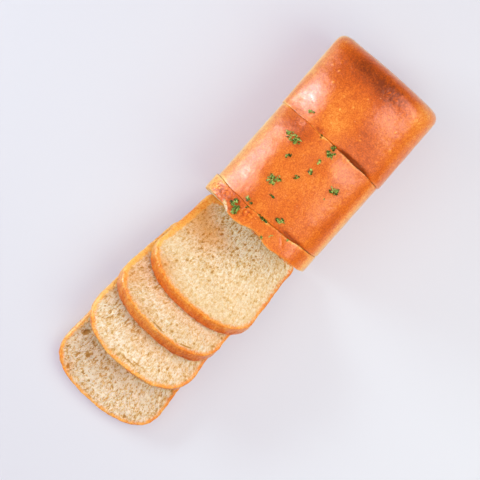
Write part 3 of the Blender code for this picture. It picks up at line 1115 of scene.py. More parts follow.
@dataclass(frozen=True, kw_only=True)
class Slice(BreadPiece):
    """A fanned slice: where its foot stands, how it lies across Y, its turn and how it sags.

    tan tints its crumb: toast in places, painted shade where the slice above or the standing slice shades
    it, and painted light where a stroke pales it. rind widens its crust, browning darkens that, and openness
    with opening is how strongly its pores show. Strokes lie on its face, Y across and then up. side_brown is
    for its left and right sides, and lower_edge_shade is how much browner, as painted shade, the crown's
    lower edge is than its upper.
    """

    foot: float
    across: float
    yaw: float = 0.0
    bend: float = 0.0
    tan: tuple[Stroke, ...]
    rind: tuple[Stroke, ...] = ()
    browning: tuple[Stroke, ...]
    holes: tuple[Hole, ...]
    openness: float
    opening: tuple[Stroke, ...]
    rim_radius: float = 1.2 * MM
    left_radius: float = 2.8 * MM
    left_rind: float = 1.6 * MM
    side_brown: tuple[float, float] = (0.1, 0.26)
    crown_brown: float = 0.43
    lower_edge_shade: float = 0.36

    def set_down(self, lean: float, along: np.ndarray, depth: np.ndarray) -> tuple[np.ndarray, np.ndarray]:
        """Where places in the slice come to lie.

        Args:
            lean: the slice's lean, in radians.
            along: distances from the foot to the crown.
            depth: distances from the lower face to the upper one.

        Returns:
            Distances toward -X, and heights.
        """
        straight = STRAIGHT_SHARE * self.section.height
        free = np.maximum(along - straight, 0.0)
        here = lean + math.radians(self.bend) * free / (self.section.height - straight)
        middle = (lean + here) / 2
        away = (along - free) * math.cos(lean) + free * np.cos(middle) - depth * np.sin(here)
        up = (along - free) * math.sin(lean) + free * np.sin(middle) + depth * np.cos(here)
        return self.foot + away, up

    def laid(self, flat: np.ndarray, lean: float) -> np.ndarray:
        """Lays places of the flat slice where they belong in the fan, before the shift to the frame.

        Args:
            flat: rows of (depth, y, z).
            lean: the slice's lean, in radians.

        Returns:
            Rows of (x, y, z).
        """
        away, up = self.set_down(lean, flat[:, 2], flat[:, 0])
        middle = -self.foot - self.section.height / 2
        x, y = turned(-away - middle, flat[:, 1], self.yaw)
        return np.column_stack([middle + x, self.across + y, up])

    def leftness(self, y: np.ndarray) -> np.ndarray:
        """1 toward the slice's left side, where its edge is rounder and its rind wider."""
        return smooth_step(y / self.section.width, 0.3, 0.15)

    def rings(self) -> list[np.ndarray]:
        """Rows of (depth, y, z) for each layer, from the lower face to the upper face."""
        outline = self.section.ring(self.across_steps, self.up_steps)
        into = self.section.inward(outline)
        radius = self.rim_radius + (self.left_radius - self.rim_radius) * self.leftness(outline[:, 0])
        lower, upper = [], []
        for turn in (0, math.pi / 4, math.pi / 2):
            moved = outline + into * self.rim_radius * (1 - math.cos(turn))
            dip = self.rim_radius * (1 - math.sin(turn))
            lower.append(np.column_stack([np.full(len(moved), dip), moved]))
            moved = outline + into * (radius * (1 - math.cos(turn)))[:, None]
            upper.append(np.column_stack([SLICE_THICKNESS - radius * (1 - math.sin(turn)), moved]))
        body = [lower[0] + (upper[0] - lower[0]) * share for share in (0.25, 0.5, 0.75)]
        return lower[::-1] + body + upper

    def build(self, lean: float, shift: Vector, finish: bpy.types.Material) -> bpy.types.Object:
        """Shapes the slice flat, opens its crumb and lays it down.

        Args:
            lean: the slice's lean, in radians.
            shift: from the loaf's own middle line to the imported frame.
            finish: the bread material.

        Returns:
            The finished piece.
        """
        made = self.shaped_block(
            self.rings(), lambda y, z: np.zeros_like(y), lambda y, z: np.full_like(y, SLICE_THICKNESS)
        )
        mesh = made.data
        flat = read(mesh.vertices, "co")
        cut, edge, pits = self.open_faces(mesh, flat, {End.FRONT: (), End.BACK: self.holes})
        y, z = flat[:, 1], flat[:, 2]
        edge = edge - painted(self.rind, y, z) - self.left_rind * self.leftness(y)
        uneven = UNEVEN.at(flat, self.seed) + UNEVEN_GRAIN.at(flat, 3)
        raised = uneven * cut + SLICE_WRINKLES.at(flat, self.seed) * (1 - cut) - pits
        relief = flat + read(mesh.vertex_normals, "vector") * raised[:, None]
        relief[:, 1] += SWAY_ACROSS.at(flat, self.seed + 5)
        relief[:, 2] += SWAY_UP.at(flat, self.seed + 9)
        lowest = self.laid(flat, lean)[:, 2].min()
        rows = self.laid(relief, lean) + np.array(shift)
        rows[:, 2] = np.maximum(rows[:, 2] - lowest, 0)
        move_to(mesh, rows)
        shares = {
            "cut": cut,
            "brown": self.browned(flat),
            "open": self.openness + painted(self.opening, y, z),
            "dull": np.zeros_like(y),
        }
        self.keep(mesh, flat, edge, pits, painted(self.tan, y, z), striped=3.0, **shares)
        mesh.materials.append(finish)
        return made

    def browned(self, flat: np.ndarray) -> np.ndarray:
        """How brown the crust is: most on the crown's lower edge, where painted shade darkens it.

        Args:
            flat: places in the flat slice.

        Returns:
            One share from 0 to 1 for each place.
        """
        y, z = flat[:, 1], flat[:, 2]
        high = smooth_step(z / self.section.height, 0.72, 0.2)
        side = np.where(y > 0, *self.side_brown)
        under = 0.5 - flat[:, 0] / SLICE_THICKNESS
        # Painted shade: the crown darkens toward the slice's lower face and pales toward its upper one.
        brown = side + (self.crown_brown - side + self.lower_edge_shade * under) * high
        streaks = ripple(flat / (STREAK_STRETCH, 1, 1), STREAK_WIDTH, 3, 17)
        return np.clip(brown + painted(self.browning, y, z) + 0.1 * streaks, 0, 1)


def fan_leans(slices: tuple[Slice, ...]) -> list[float]:
    """Lean of each fanned slice: each rests on the next one, and the last lies flat.

    Args:
        slices: the fan, from the loaf outward.

    Returns:
        Angles in radians, in the same order.
    """
    leans = [0.0]
    for leaning, support in zip(reversed(slices[:-1]), reversed(slices[1:])):
        along = support.section.height * np.arange(CONTACT_STEPS + 1) / CONTACT_STEPS
        away, up = support.set_down(leans[0], along, np.full_like(along, SLICE_THICKNESS))
        reach = np.hypot(away - leaning.foot, up)
        near = reach < leaning.section.height
        clear = np.arcsin(np.minimum(RESTING_GAP / reach[near], 1))
        leans.insert(0, float((np.arctan2(up, away - leaning.foot)[near] + clear).max()))
    return leans


@dataclass(frozen=True)
class Sprig:
    """A bit of chopped parsley: its place, length, width, turn, number of leaflets and stems, and tone, kept
    low as painted shade for sprigs down in a seam.
    """

    x: float
    y: float
    length: float
    width: float
    turn: float
    leaflets: int
    stems: int = 0
    tone: float = 0.35


class Pile:
    """Many small parts gathered into one mesh, each with a tone of its own."""

    def __init__(self) -> None:
        """Starts empty."""
        self.rows, self.faces, self.tones = [], [], []

    def add(self, rows: np.ndarray, faces: list, tone: float) -> None:
        """Adds a part.

        Args:
            rows: its vertices.
            faces: its faces, by its own vertex numbers.
            tone: its tone, which is held to 0 to 1.
        """
        start = len(self.rows)
        self.rows += rows.tolist()
        self.faces += [tuple(start + k for k in face) for face in faces]
        self.tones += [min(max(tone, 0), 1)] * len(rows)

    def piece(self, name: str) -> bpy.types.Object:
        """Makes one object of all the parts.

        Args:
            name: the new object's name.

        Returns:
            The object, with each vertex's tone kept.
        """
        mesh = bpy.data.meshes.new(name)
        mesh.from_pydata(self.rows, [], self.faces)
        made = bpy.data.objects.new(name, mesh)
        bpy.context.scene.collection.objects.link(made)
        store(mesh, "tone", np.array(self.tones))
        return made


@dataclass(frozen=True)
class Bed:
    """The bread that parsley is strewn over: its faces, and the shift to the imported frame."""

    tree: BVHTree
    shift: Vector

    def landing(self, sprig: Sprig, share: float, angle: float) -> tuple[Vector, Vector] | None:
        """Where something strewn from above comes down.

        Args:
            sprig: the sprig it belongs to.
            share: how far from the sprig's middle, over its length and width.
            angle: in which direction, in radians.

        Returns:
            The place and the crust's normal there, or None where it would miss the crown.
        """
        along = sprig.length * share * math.cos(angle)
        aside = sprig.width * share * math.sin(angle)
        x, y = turned(along, aside, -sprig.turn)
        start = Vector((sprig.x + x, sprig.y + y, 2 * LOAF_HEIGHT)) + self.shift
        hit, normal, _, _ = self.tree.ray_cast(start, Vector((0, 0, -1)))
        return None if hit is None or hit.z < LOWEST_PARSLEY else (hit, normal)


@dataclass(frozen=True)
class Parsley:
    """The chopped parsley on one bread piece."""

    name: str
    seed: int
    sprigs: tuple[Sprig, ...]
    rim_points: int = 11
    thickness: float = 0.25 * MM
    leaflet_width: float = 2.3 * MM
    stem_radius: float = 0.4 * MM

    def leaf_blank(self) -> tuple[np.ndarray, list]:
        """A round flat leaf of radius 1, modelled once.

        Returns:
            Its vertices and its faces.
        """
        bpy.ops.object.select_all(action="DESELECT")
        bpy.ops.mesh.primitive_circle_add(vertices=self.rim_points, radius=1, fill_type="NGON")
        leaf = bpy.context.object
        bpy.ops.object.mode_set(mode="EDIT")
        bpy.ops.mesh.select_all(action="SELECT")
        bpy.ops.mesh.inset(thickness=0.45)
        bpy.ops.mesh.poke()
        bpy.ops.object.mode_set(mode="OBJECT")
        rows = read(leaf.data.vertices, "co")
        faces = [tuple(face.vertices) for face in leaf.data.polygons]
        bpy.data.objects.remove(leaf)
        return rows, faces

    def build(self, bread: bpy.types.Object, shift: Vector, finish: bpy.types.Material) -> bpy.types.Object:
        """Strews the parsley over its bread piece.

        Args:
            bread: the bread piece it lies on.
            shift: from the loaf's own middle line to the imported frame.
            finish: the parsley material.

        Returns:
            All its leaflets and stems as one piece.
        """
        draw = random.Random(self.seed)
        bpy.context.view_layer.update()
        bed = Bed(BVHTree.FromObject(bread, bpy.context.evaluated_depsgraph_get()), shift)
        blank, faces = self.leaf_blank()
        pile = Pile()
        for sprig in self.sprigs:
            for _ in range(sprig.leaflets):
                leaflet = self.leaflet(sprig, blank, bed, draw)
                if leaflet:
                    pile.add(leaflet[0], faces, leaflet[1])
            for _ in range(sprig.stems):
                angle = draw.uniform(0, math.tau)
                inner = bed.landing(sprig, 0.1, angle)
                outer = bed.landing(sprig, draw.uniform(0.5, 0.62), angle)
                if inner and outer:
                    pile.add(*self.stem(inner[0], outer[0]), sprig.tone + 0.45)
        made = pile.piece(self.name)
        modify(made, "SOLIDIFY", thickness=self.thickness, offset=0)
        made.data.materials.append(finish)
        return made

    def leaflet(
        self, sprig: Sprig, blank: np.ndarray, bed: Bed, draw: random.Random
    ) -> tuple[np.ndarray, float] | None:
        """One curled leaflet of a sprig, where it lands.

        Args:
            sprig: the sprig.
            blank: the flat leaf.
            bed: the bread below.
            draw: where chance comes from.

        Returns:
            Its vertices and its tone, or None where it would miss the bread.
        """
        alone = sprig.leaflets == 1
        away = 0.0 if alone else draw.uniform(0.1, 1) ** 0.6
        landed = bed.landing(sprig, away * 0.46, draw.uniform(0, math.tau))
        if landed is None:
            return None
        size = min(sprig.width, self.leaflet_width) * draw.uniform(0.75, 1.15)
        leaf = self.curled(blank, size, draw)
        if alone:
            leaf[:, 0] *= sprig.length / sprig.width
            tilt = Euler((draw.uniform(-0.2, 0.2), draw.uniform(-0.2, 0.2), math.radians(sprig.turn)))
            rise = 0.12
        else:
            tilt = Euler((draw.uniform(-0.9, 0.9), draw.uniform(-0.9, 0.9), draw.uniform(0, math.tau)))
            rise = draw.uniform(0.15, 0.5) + 0.7 * (1 - away)
        hit, normal = landed
        turn = normal.to_track_quat("Z", "Y").to_matrix() @ tilt.to_matrix()
        # Painted light and shade: raised leaflets are lighter, low ones darker.
        tone = sprig.tone + 0.8 * (rise - 0.5) + draw.uniform(-0.6, 0.6)
        return leaf @ np.array(turn).T + np.array(hit + normal * (rise * size)), tone

    def stem(self, inner: Vector, outer: Vector) -> tuple[np.ndarray, list]:
        """A thin bent ribbon, which the skin then thickens.

        Args:
            inner: where its raised end is.
            outer: where its low end is.

        Returns:
            Its vertices and its faces.
        """
        lift = Vector((0, 0, self.stem_radius))
        points = (inner + lift * 3, (inner + outer) / 2 + lift * 3, outer + lift)
        rows = []
        for i, point in enumerate(points):
            ahead = points[min(i + 1, 2)] - points[max(i - 1, 0)]
            side = ahead.cross(Vector((0, 0, 1))).normalized() * self.stem_radius
            rows += [tuple(point - side), tuple(point + side)]
        return np.array(rows), [(0, 1, 3, 2), (2, 3, 5, 4)]

    def curled(self, blank: np.ndarray, size: float, draw: random.Random) -> np.ndarray:
        """A leaf with a lobed, frilled rim.

        Args:
            blank: the flat leaf.
            size: the leaf's width.
            draw: where chance comes from.

        Returns:
            Its vertices about its middle.
        """
        reach = np.hypot(blank[:, 0], blank[:, 1])
        angle = np.arctan2(blank[:, 1], blank[:, 0])
        lobes = draw.choice((3, 4, 5))
        first, second = draw.uniform(0, math.tau), draw.uniform(0, math.tau)
        notch = 1 + reach * (0.36 * np.cos(lobes * angle + first) + 0.1 * np.cos(7 * angle + second))
        frill = 0.34 * reach**1.5 * np.sin((lobes + 1) * angle + second)
        cup = draw.uniform(-0.25, 0.4) * reach**2
        return np.column_stack([blank[:, 0] * notch, blank[:, 1] * notch * 0.8, frill + cup]) * (size / 2)


@dataclass(frozen=True)
class ParsleyFinish:
    """Fresh chopped parsley: light curled tips and dark folds, partly painted highlight and painted shade,
    and mid green leaf.
    """

    light: Colour = screen(204, 228, 128)
    mid: Colour = screen(104, 146, 36)
    dark: Colour = screen(20, 42, 8)

    def material(self, name: str) -> bpy.types.Material:
        """The parsley material.

        Args:
            name: the material's name.

        Returns:
            A material that reads each leaflet's tone.
        """
        made, sketch, shader = new_material(name)
        patch = sketch.noise(sketch.node("ShaderNodeTexCoord").outputs["Object"], 1.0 * MM, 3, 0.6)
        tone = sketch.add(sketch.attribute("tone"), sketch.sway(patch, 0.4))
        values = {
            "Base Color": sketch.ramp(tone, ((0.0, self.dark), (0.5, self.mid), (1.0, self.light))),
            "Roughness": sketch.ease(patch, 0.3, 0.7, 0.35, 0.6),
            "Normal": sketch.bump(patch, 0.4, 0.2 * MM),
            "Specular IOR Level": 0.25,
        }
        sketch.wire(shader, values)
        return made


@dataclass(frozen=True)
class Lamp:
    """A soft light: where it stands, its width and height, its power and its colour.

    lit says whether it brightens surfaces, and mirrored whether it shows in their gloss.
    """

    name: str
    place: tuple[float, float, float]
    size: tuple[float, float]
    power: float
    colour: tuple[float, float, float] = (1.0, 1.0, 1.0)
    lit: bool = True
    mirrored: bool = True

    def hang(self) -> None:
        """Adds the light to the scene, turned toward its middle."""
        light = bpy.data.lights.new(self.name, "AREA")
        light.shape = "RECTANGLE"
        light.size, light.size_y = self.size
        light.energy, light.color = self.power, self.colour
        stand = bpy.data.objects.new(self.name, light)
        stand.location = self.place
        stand.visible_diffuse, stand.visible_glossy = self.lit, self.mirrored
        stand.rotation_euler = (-Vector(self.place)).to_track_quat("-Z", "Y").to_euler()
        bpy.context.scene.collection.objects.link(stand)


@dataclass(frozen=True)
class Studio:
    """The pale table, the lamps and the camera straight above the loaf."""

    lamps: tuple[Lamp, ...]
    ambient: Colour
    ambient_strength: float
    camera_height: float = 1340 * MM
    focal_pixels: float = 1626.0
    picture_pixels: float = 480.0
    picture_turn: float = -49.3
    table_size: float = 4.0
    table_tone: Colour = (0.50, 0.58, 0.545, 1.0)
    table_glow: Colour = (0.234, 0.2, 0.316, 1.0)

    def build(self, shift: Vector) -> None:
        """Sets up the table, the lights and the camera.

        Args:
            shift: from the loaf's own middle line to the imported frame.
        """
        self.table()
        for lamp in self.lamps:
            lamp.hang()
        world = bpy.data.worlds.new("studio")
        world.use_nodes = True
        sky = {"Color": self.ambient, "Strength": self.ambient_strength}
        Sketch(world.node_tree).wire(world.node_tree.nodes["Background"].inputs, sky)
        bpy.context.scene.world = world
        world.cycles_visibility.glossy = False
        lens = bpy.data.cameras.new("camera")
        lens.sensor_fit = "HORIZONTAL"
        lens.angle = 2 * math.atan(self.picture_pixels / 2 / self.focal_pixels)
        camera = bpy.data.objects.new("camera", lens)
        camera.location = (shift.x, shift.y, self.camera_height)
        camera.rotation_euler = (0, 0, math.radians(self.picture_turn))
        bpy.context.scene.collection.objects.link(camera)
        bpy.context.scene.camera = camera
        bpy.context.scene.view_settings.view_transform = "Standard"

    def table(self) -> None:
        """Lays the plain table top."""
        bpy.ops.object.select_all(action="DESELECT")
        bpy.ops.mesh.primitive_plane_add(size=self.table_size, location=(0, 0, 0))
        table = bpy.context.object
        table.name = "table_top"
        made, sketch, shader = new_material("pale_table")
        finish = {
            "Base Color": self.table_tone,
            "Roughness": 0.8,
            "Specular IOR Level": 0.1,
            "Emission Color": self.table_glow,
            "Emission Strength": 1.0,
        }
        sketch.wire(shader, finish)
        table.data.materials.append(made)


STUDIO = Studio(
    lamps=(
        Lamp("key", (-0.117, 1.004, 0.478), (0.5, 0.16), 5.0, (0.90, 1.0, 1.12), mirrored=False),
        Lamp("key_sheen", (-0.233, 1.174, 0.3), (0.12, 0.55), 12.0, (0.88, 1.0, 1.14), lit=False),
        Lamp("window", (0.018, 0.991, 0.5), (0.62, 1.0), 10.7, (1.0, 1.0, 1.05), lit=False),
        Lamp("fill", (0.1, -0.425, 0.66), (0.5, 0.58), 2.8, (1.0, 1.06, 0.97), mirrored=False),
        Lamp("fill_sheen", (0.472, -0.41, 0.597), (0.6, 0.38), 3.2, lit=False),
        Lamp("overhead", (0, 0, 1.7), (3.0, 3.0), 20.0, (1.22, 0.98, 0.95), mirrored=False),
    ),
    ambient=(1.2, 0.98, 0.95, 1.0),
    ambient_strength=0.24,
)

# The front edge of the standing slice's torn crown: places across Y, each with its X, in mm.
TORN_EDGE = (
    (-52, 12), (-46, 10.3), (-32, 10.2), (-25, 9.6), (-18, 8.4), (-12, 9.2), (-5, 11.6), (0, 12.2),
    (4, 11.4), (10, 9), (18, 8), (25, 9.4), (31, 12.6), (42, 13.2), (50, 14),
)
STANDING_LIP = tuple((y * MM, STANDING_FRONT - x * MM) for y, x in TORN_EDGE)

# Where the crown of the uncut loaf rises and sinks.
LOAF_SWELLS = many(
    Swell,
    (132.7, -12.4, 15.0, 2.7),
    (132.4, 19.8, 17.3, 2.3),
    (97.9, -27.1, 19.5, -2.8),
    (169.5, 23.2, 21.1, -3.2),
    (106.2, 34.3, 10.2, -3.1),
    (119.1, 32.8, 10.7, -1.7),
    (153.4, -29.2, 9.2, -0.9),
    (49.6, 25.0, 10.6, 1.4),
    (78.1, 18.7, 22.1, 2.0),
    (83.8, -21.5, 12.2, 2.6),
    (66.8, 24.6, 9.9, 1.3),
    (40.1, 13.2, 11.7, 2.0),
    (42.6, -32.0, 19.0, 2.0),
)

# Pale blisters on the heel, in mm.
HEEL_SPECKS = (
    (165.5, 20), (165.5, 4), (161, -14), (155, 30), (150, 34), (149, 27), (136, 11), (133.5, 0.5),
    (128, -43), (139, 25), (160, -22), (146, -4), (118, -20), (114, -41), (141, -37), (126, 7),
)

# What the two thick pieces share, and the two seams between the upright pieces.
THICK = {"across_steps": 26, "up_steps": 22, "crumb": Crumb(spacing=2.6 * MM, usual=2.0 * MM)}
HEEL_SEAM = {"skew": 2.0 * MM, "bow": 0.4 * MM, "wave": 0.25 * MM}
MIDDLE_SEAM = {"bow": 3 * MM, "lean": KNIFE_LEAN, "wave": 0.3 * MM}

HEEL = Upright(
    name="heel_bread",
    node="loaf_heel",
    seed=11,
    section=Section(102.2 * MM),
    front=CutFace(HEEL_JOINT, End.FRONT, top_radius=2.4 * MM, left_share=0.12, **HEEL_SEAM),
    back=CutFace(
        HEEL_END, End.BACK, skew=0.9 * MM, top_radius=17 * MM, side_radius=5.5 * MM, steps=4, cut=False
    ),
    across=(-5.5 * MM, -5.7 * MM),
    body_steps=17,
    swells=LOAF_SWELLS,
    strokes=many(
        Stroke,
        # The first three and the sixth darken the rounded heel end: partly browning, partly painted shade
        # where the end slopes away from the light.
        (164, 6, 8, 34, 0.42),
        (153, 9, 11, 27, 0.2),
        (157, -14, 8, 12, 0.16),
        (177, 0, 5, 60, -0.14),
        (166, -46, 12, 11, -0.22),
        (161, -22, 7, 14, 0.08),
        (165, 31, 9, 9, -0.1),
        (150, 43, 45, 5, -0.2),
        (116, 2, 13, 13, -0.1),
        (124, -19, 14, 12, 0.14),
        (112, -38, 12, 16, 0.14),
        # Painted shade: dark brown down the seam's groove and in its notch.
        (102.6, -20, 1.9, 8, 0.7),
        (102.0, -33, 1.9, 8, 0.8),
        (104, 9, 1.8, 3, 0.4),
        *((x, y, 0.8, 0.7, -0.4) for x, y in HEEL_SPECKS),
    ),
    rims=many(Stroke, (102, 42, 20, 5, 0.4)),
    relief=many(
        Stroke, (102.4, -27, 1.8, 13, -0.7), *((x, y, 0.9, 0.8, 0.3) for x, y in HEEL_SPECKS), lengths=5
    ),
    scuffs=many(Stroke, (162, -18, 7, 20, 0.75)),
    **THICK,
)

MIDDLE = Upright(
    name="middle_bread",
    node="loaf_middle",
    seed=21,
    section=Section(100.2 * MM),
    front=CutFace(MIDDLE_JOINT, End.FRONT, top_radius=1.6 * MM, left_share=0.2, **MIDDLE_SEAM),
    back=CutFace(HEEL_JOINT - GAP / 6, End.BACK, top_radius=0.4 * MM, side_radius=0.4 * MM, **HEEL_SEAM),
    across=(-4.1 * MM, -5.3 * MM),
    body_steps=18,
    swells=LOAF_SWELLS,
    strokes=many(
        Stroke,
        (95, 20, 7, 14, 0.22),
        (60, -45, 40, 4, 0.1),
        (60, -52, 60, 2.5, -0.25),
        (60, 42, 60, 5, -0.28),
        # Painted shade where the front edge rolls off into the seam.
        (26.5, -30, 2.0, 13, 0.45),
        (45, -22, 10, 14, 0.05),
        (85, 15, 3, 5, 0.15),
        (86, -8, 12, 6, 0.06),
    ),
    rims=many(
        Stroke, (101, 42, 12, 5, 0.5), (101, 2, 12, 6, 0.4), (101, -26, 12, 12, 0.3), (27, 42, 12, 5, 0.5)
    ),
    relief=many(Stroke, (26.5, -30, 1.6, 13, -0.3), lengths=5),
    **THICK,
)

STANDING = Upright(
    name="standing_bread",
    node="standing_slice",
    seed=31,
    section=Section(101.8 * MM),
    front=CutFace(
        STANDING_FRONT,
        End.FRONT,
        lean=KNIFE_LEAN,
        side_radius=1.2 * MM,
        top_radius=1.2 * MM,
        lip=STANDING_LIP,
    ),
    back=CutFace(MIDDLE_JOINT - GAP / 6, End.BACK, top_radius=0.5 * MM, side_radius=0.5 * MM, **MIDDLE_SEAM),
    across=(-3.0 * MM, -3.1 * MM),
    body_steps=4,
    swells=many(Swell, (18, 18, 12, -1.0), (9, -38, 13, 2.6)),
    strokes=many(
        Stroke, (18, -45, 9, 8, 0.04), (19, 24, 9, 15, 0.12), (18, 45, 20, 5, -0.35), (18, -51, 20, 3, -0.3)
    ),
    rims=many(
        Stroke, (27, 42, 12, 5, 0.5), (25, -3, 8, 10, 0.45), (25, -34, 8, 13, 0.45), (9, 0, 8, 60, 0.25)
    ),
    relief=many(
        Stroke,
        (19.5, -25.5, 6.5, 0.9, -0.4, 45),
        (21, -21, 4, 0.9, -0.25, 100),
        (22, 0, 0.9, 12, 0.4),
        lengths=5,
    ),
    scuffs=many(Stroke, (20, 38, 10, 14, 1.0), (19, 10, 5, 6, 0.9)),
    tears=many(Stroke, (12.5, 26, 5, 1.7, 1.0, 48)),
)

SLICES = (
    Slice(
        name="first_slice",
        node="fanned_slice_1",
        seed=41,
        foot=-6.0 * MM,
        across=-1.0 * MM,
        section=Section(100.5 * MM, 92 * MM, 2.25, 3 * MM),
        yaw=1.8,
        tan=many(
            Stroke,
            # The first two are painted shade beside the standing slice; the third, paling the crumb at the
            # foot, is painted light.
            (39, 14, 8, 24, 0.5),
            (24, 30, 18, 18, 0.8),
            (-14, 2, 36, 12, -1.6),
            (35, 80, 12, 8, 0.6),
            (24, 86, 14, 4, 0.3),
        ),
        rind=many(Stroke, (48, 22, 9, 32, 4.5), (44, 0, 12, 14, 4), lengths=5),
        browning=many(Stroke, (49, 25, 7, 30, 0.12), (48, 60, 6, 13, -0.16)),
        holes=many(
            Hole,
            (22.5, 63, 3.2, 5, 0.75, 60),
            (1, 55.5, 3, 4.6, 0.75, 80),
            (5, 53.5, 2.4, 3.2, 0.75, 80),
            (9, 44.5, 3.2, 4, 0.75, 80),
            (-1, 24, 2.8, 3.4, 0.75, 80),
            (-5, 28, 2.4, 3.2, 0.75),
            (-1, 32.5, 2.4, 3.4, 0.75, 80),
            (-22.5, 27, 2.2, 2.6, 0.75, 80),
            (-17.5, 28, 2.2, 2.6, 0.75, 80),
            (27, 35.5, 2.4, 5, 0.75, 85),
            (16, 23, 2.6, 4, 0.75, 80),
            (36.5, 43.5, 2.6, 3.2, 0.75, 80),
            (23.5, 41.5, 2.2, 2.4, 0.75),
            (-20, 65.5, 2.6, 3.4, 0.75, 60),
            (0.5, 49.5, 2.2, 2.6, 0.75, 80),
            (-31.5, 50, 2.4, 2.4, 0.75),
            (-16, 17.5, 2.2, 2.8, 0.75, 80),
            (-13, 60.5, 2, 2.6, 0.75, 80),
            (29, 70, 2.4, 3, 0.75, 80),
            (-3.5, 16, 2.8, 3.4, 0.75, 80),
            lengths=5,
        ),
        openness=0.45,
        opening=many(Stroke, (10, 14, 40, 24, 0.95), (15, 50, 24, 24, 0.2)),
    ),
    Slice(
        name="second_slice",
        node="fanned_slice_2",
        seed=51,
        foot=28.5 * MM,
        across=6.1 * MM,
        section=Section(100.4 * MM, 91 * MM),
        yaw=3.0,
        tan=many(
            # The stroke across at 59 mm up is painted shade under the edge of the slice above.
            Stroke, (36, 50, 14, 14, 0.25), (0, 59, 46, 8, 0.4), (39, 72, 9, 9, 0.5), (22, 86, 15, 5, 0.35)
        ),
        rind=many(Stroke, (49, 60, 6, 30, 1.5), (0, 91, 40, 5, -1.2), lengths=5),
        browning=many(Stroke, (8, 91, 28, 14, -0.06), (-32, 84, 12, 14, 0.1), (48, 58, 7, 14, -0.14)),
        holes=many(
            Hole,
            (-3, 87.4, 2.0, 20, 0.7),
            (-29, 82.8, 2.0, 16, 0.8, 26),
            (-13.5, 82, 3.0, 3.4, 0.7),
            lengths=5,
        ),
        openness=0.7,
        # Darker pores under the edge of the slice above, as painted shade.
        opening=many(Stroke, (30, 57, 18, 8, 0.6)),
    ),
    Slice(
        name="third_slice",
        node="fanned_slice_3",
        seed=61,
        foot=58.5 * MM,
        across=6.6 * MM,
        section=Section(101.2 * MM, 87 * MM),
        yaw=-0.4,
        bend=-21,
        # The stroke across at 59 mm up is painted shade under the edge of the slice above.
        tan=many(Stroke, (38, 56, 14, 14, 0.1), (4, 59, 44, 9, 0.4), (34, 66, 14, 9, -0.6)),
        browning=many(Stroke, (0, 87, 60, 12, -0.12), (49, 58, 7, 15, -0.14)),
        holes=many(Hole, (-1, 81.4, 1.8, 26, 0.6, -2), (-9, 79, 1.8, 24, 0.55, 4), lengths=5),
        openness=0.82,
        # Darker pores under the edge of the slice above, as painted shade.
        opening=many(Stroke, (24, 56, 26, 9, 0.6)),
    ),
    Slice(
        name="fourth_slice",
        node="fanned_slice_4",
        seed=71,
        foot=90.0 * MM,
        across=6.9 * MM,
        section=Section(100.8 * MM, 89 * MM, 2.45),
        crumb=Crumb(usual=1.4 * MM, deepest=1.0 * MM),
        # Painted shade in the hole at 33, 79 and under the slice above.
        tan=many(Stroke, (33, 79, 5, 5, 0.5), (0, 54, 60, 24, 0.26)),
        browning=many(Stroke, (0, 89, 60, 12, -0.1)),
        holes=many(
            Hole,
            (39, 48.5, 4.5, 7, 1.4, 70),
            (25.5, 62, 3.5, 5, 1.1, 80),
            (33, 79, 2.5, 5, 0.8, 140),
            lengths=5,
        ),
        openness=1.25,
        opening=many(Stroke, (25, 62, 25, 18, 0.5)),
    ),
)

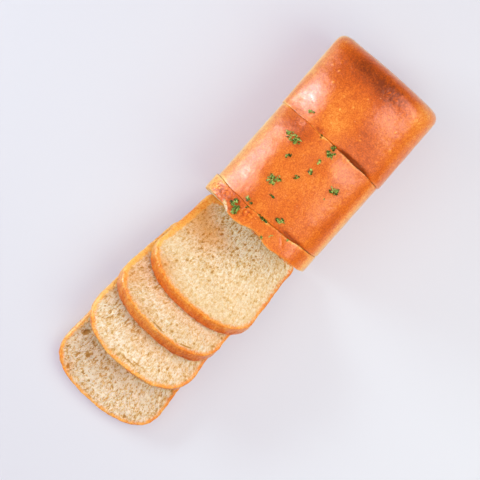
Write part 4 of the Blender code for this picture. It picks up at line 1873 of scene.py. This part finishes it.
HEEL_PARSLEY = Parsley("heel_parsley", 3, many(Sprig, (111, 22.5, 5, 2.4, -50, 5)))
MIDDLE_PARSLEY = Parsley(
    "middle_parsley",
    5,
    many(
        Sprig,
        (101, 5, 3.5, 1.8, 70, 2, 0, 0.2),
        (97, -9.5, 11, 8, 10, 22, 2),
        (86.5, 20.5, 15, 7, 85, 27, 4, 0.8),
        (84.5, -7, 5, 2.2, 10, 5),
        (74.5, -7, 5, 3, 20, 7),
        (73, 14, 5, 3.5, 100, 7),
        (75.5, -30, 9, 6, 100, 17, 1),
        (65, -1.5, 5, 2.4, -35, 5),
        (66, -28.5, 1.6, 1.0, 0, 1, 0, 0.1),
        (51, 12.5, 9, 7, 70, 22, 2, 0.6),
        (55, 8.5, 5, 3.5, 60, 7, 0, 0.45),
        (41.7, 2.5, 6, 2.2, 90, 1, 0, 0.1),
        (31, -13.5, 7.5, 5, 110, 15, 1, 0.1),
        (28, 14.5, 9, 2.6, 75, 8, 1, 0.2),
    ),
)
STANDING_PARSLEY = Parsley(
    "standing_parsley",
    8,
    many(
        Sprig,
        (19, 20.5, 9, 7, 80, 22, 2, 0.3),
        (14.5, 17.5, 7, 6, 0, 17, 1, 0.35),
        (23, 13.5, 4, 2, 80, 2, 0, 0.2),
        # This one and the last lie down in the seam: their tone of 0 is painted shade.
        (23.2, -2, 9, 2.4, 88, 8, 0, 0.0),
        (18.5, -16, 7, 1.4, -25, 2, 1, 0.7),
        (12.5, -11.5, 3.2, 2.4, 30, 2, 0, 0.3),
        (22.7, -27.8, 3.6, 1.6, 10, 2, 0, 0.0),
    ),
)


def frame_shift() -> Vector:
    """From the loaf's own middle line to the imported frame, read off the slice that lies flat."""
    low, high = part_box("fanned_slice_4")
    flat = SLICES[-1]
    return Vector((low.x + flat.foot + flat.section.height, (low.y + high.y) / 2 - flat.across, 0))


def fit_in(piece: bpy.types.Object, node: str) -> None:
    """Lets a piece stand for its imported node.

    Args:
        piece: the finished piece.
        node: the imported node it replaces.
    """
    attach(piece, "root")
    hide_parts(node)
    LOG.info("%s: %d triangles", piece.name, sum(len(face.vertices) - 2 for face in piece.data.polygons))


def main() -> None:
    """Builds the studio and every piece of the bread."""
    logging.basicConfig(level=logging.INFO, format="%(message)s")
    shift = frame_shift()
    STUDIO.build(shift)
    finish = BreadFinish(CrustTones(), CrumbTones())
    loaf, sliced = finish.material("glossy_loaf", 0.8), finish.material("sliced_bread", 0.15)
    green = ParsleyFinish().material("chopped_parsley")
    for upright, herbs in ((HEEL, HEEL_PARSLEY), (MIDDLE, MIDDLE_PARSLEY), (STANDING, STANDING_PARSLEY)):
        bread = upright.build(shift, loaf)
        fit_in(bread, upright.node)
        fit_in(herbs.build(bread, shift, green), upright.node)
    for fallen, lean in zip(SLICES, fan_leans(SLICES)):
        fit_in(fallen.build(lean, shift, sliced), fallen.node)


if __name__ == "__main__":
    main()
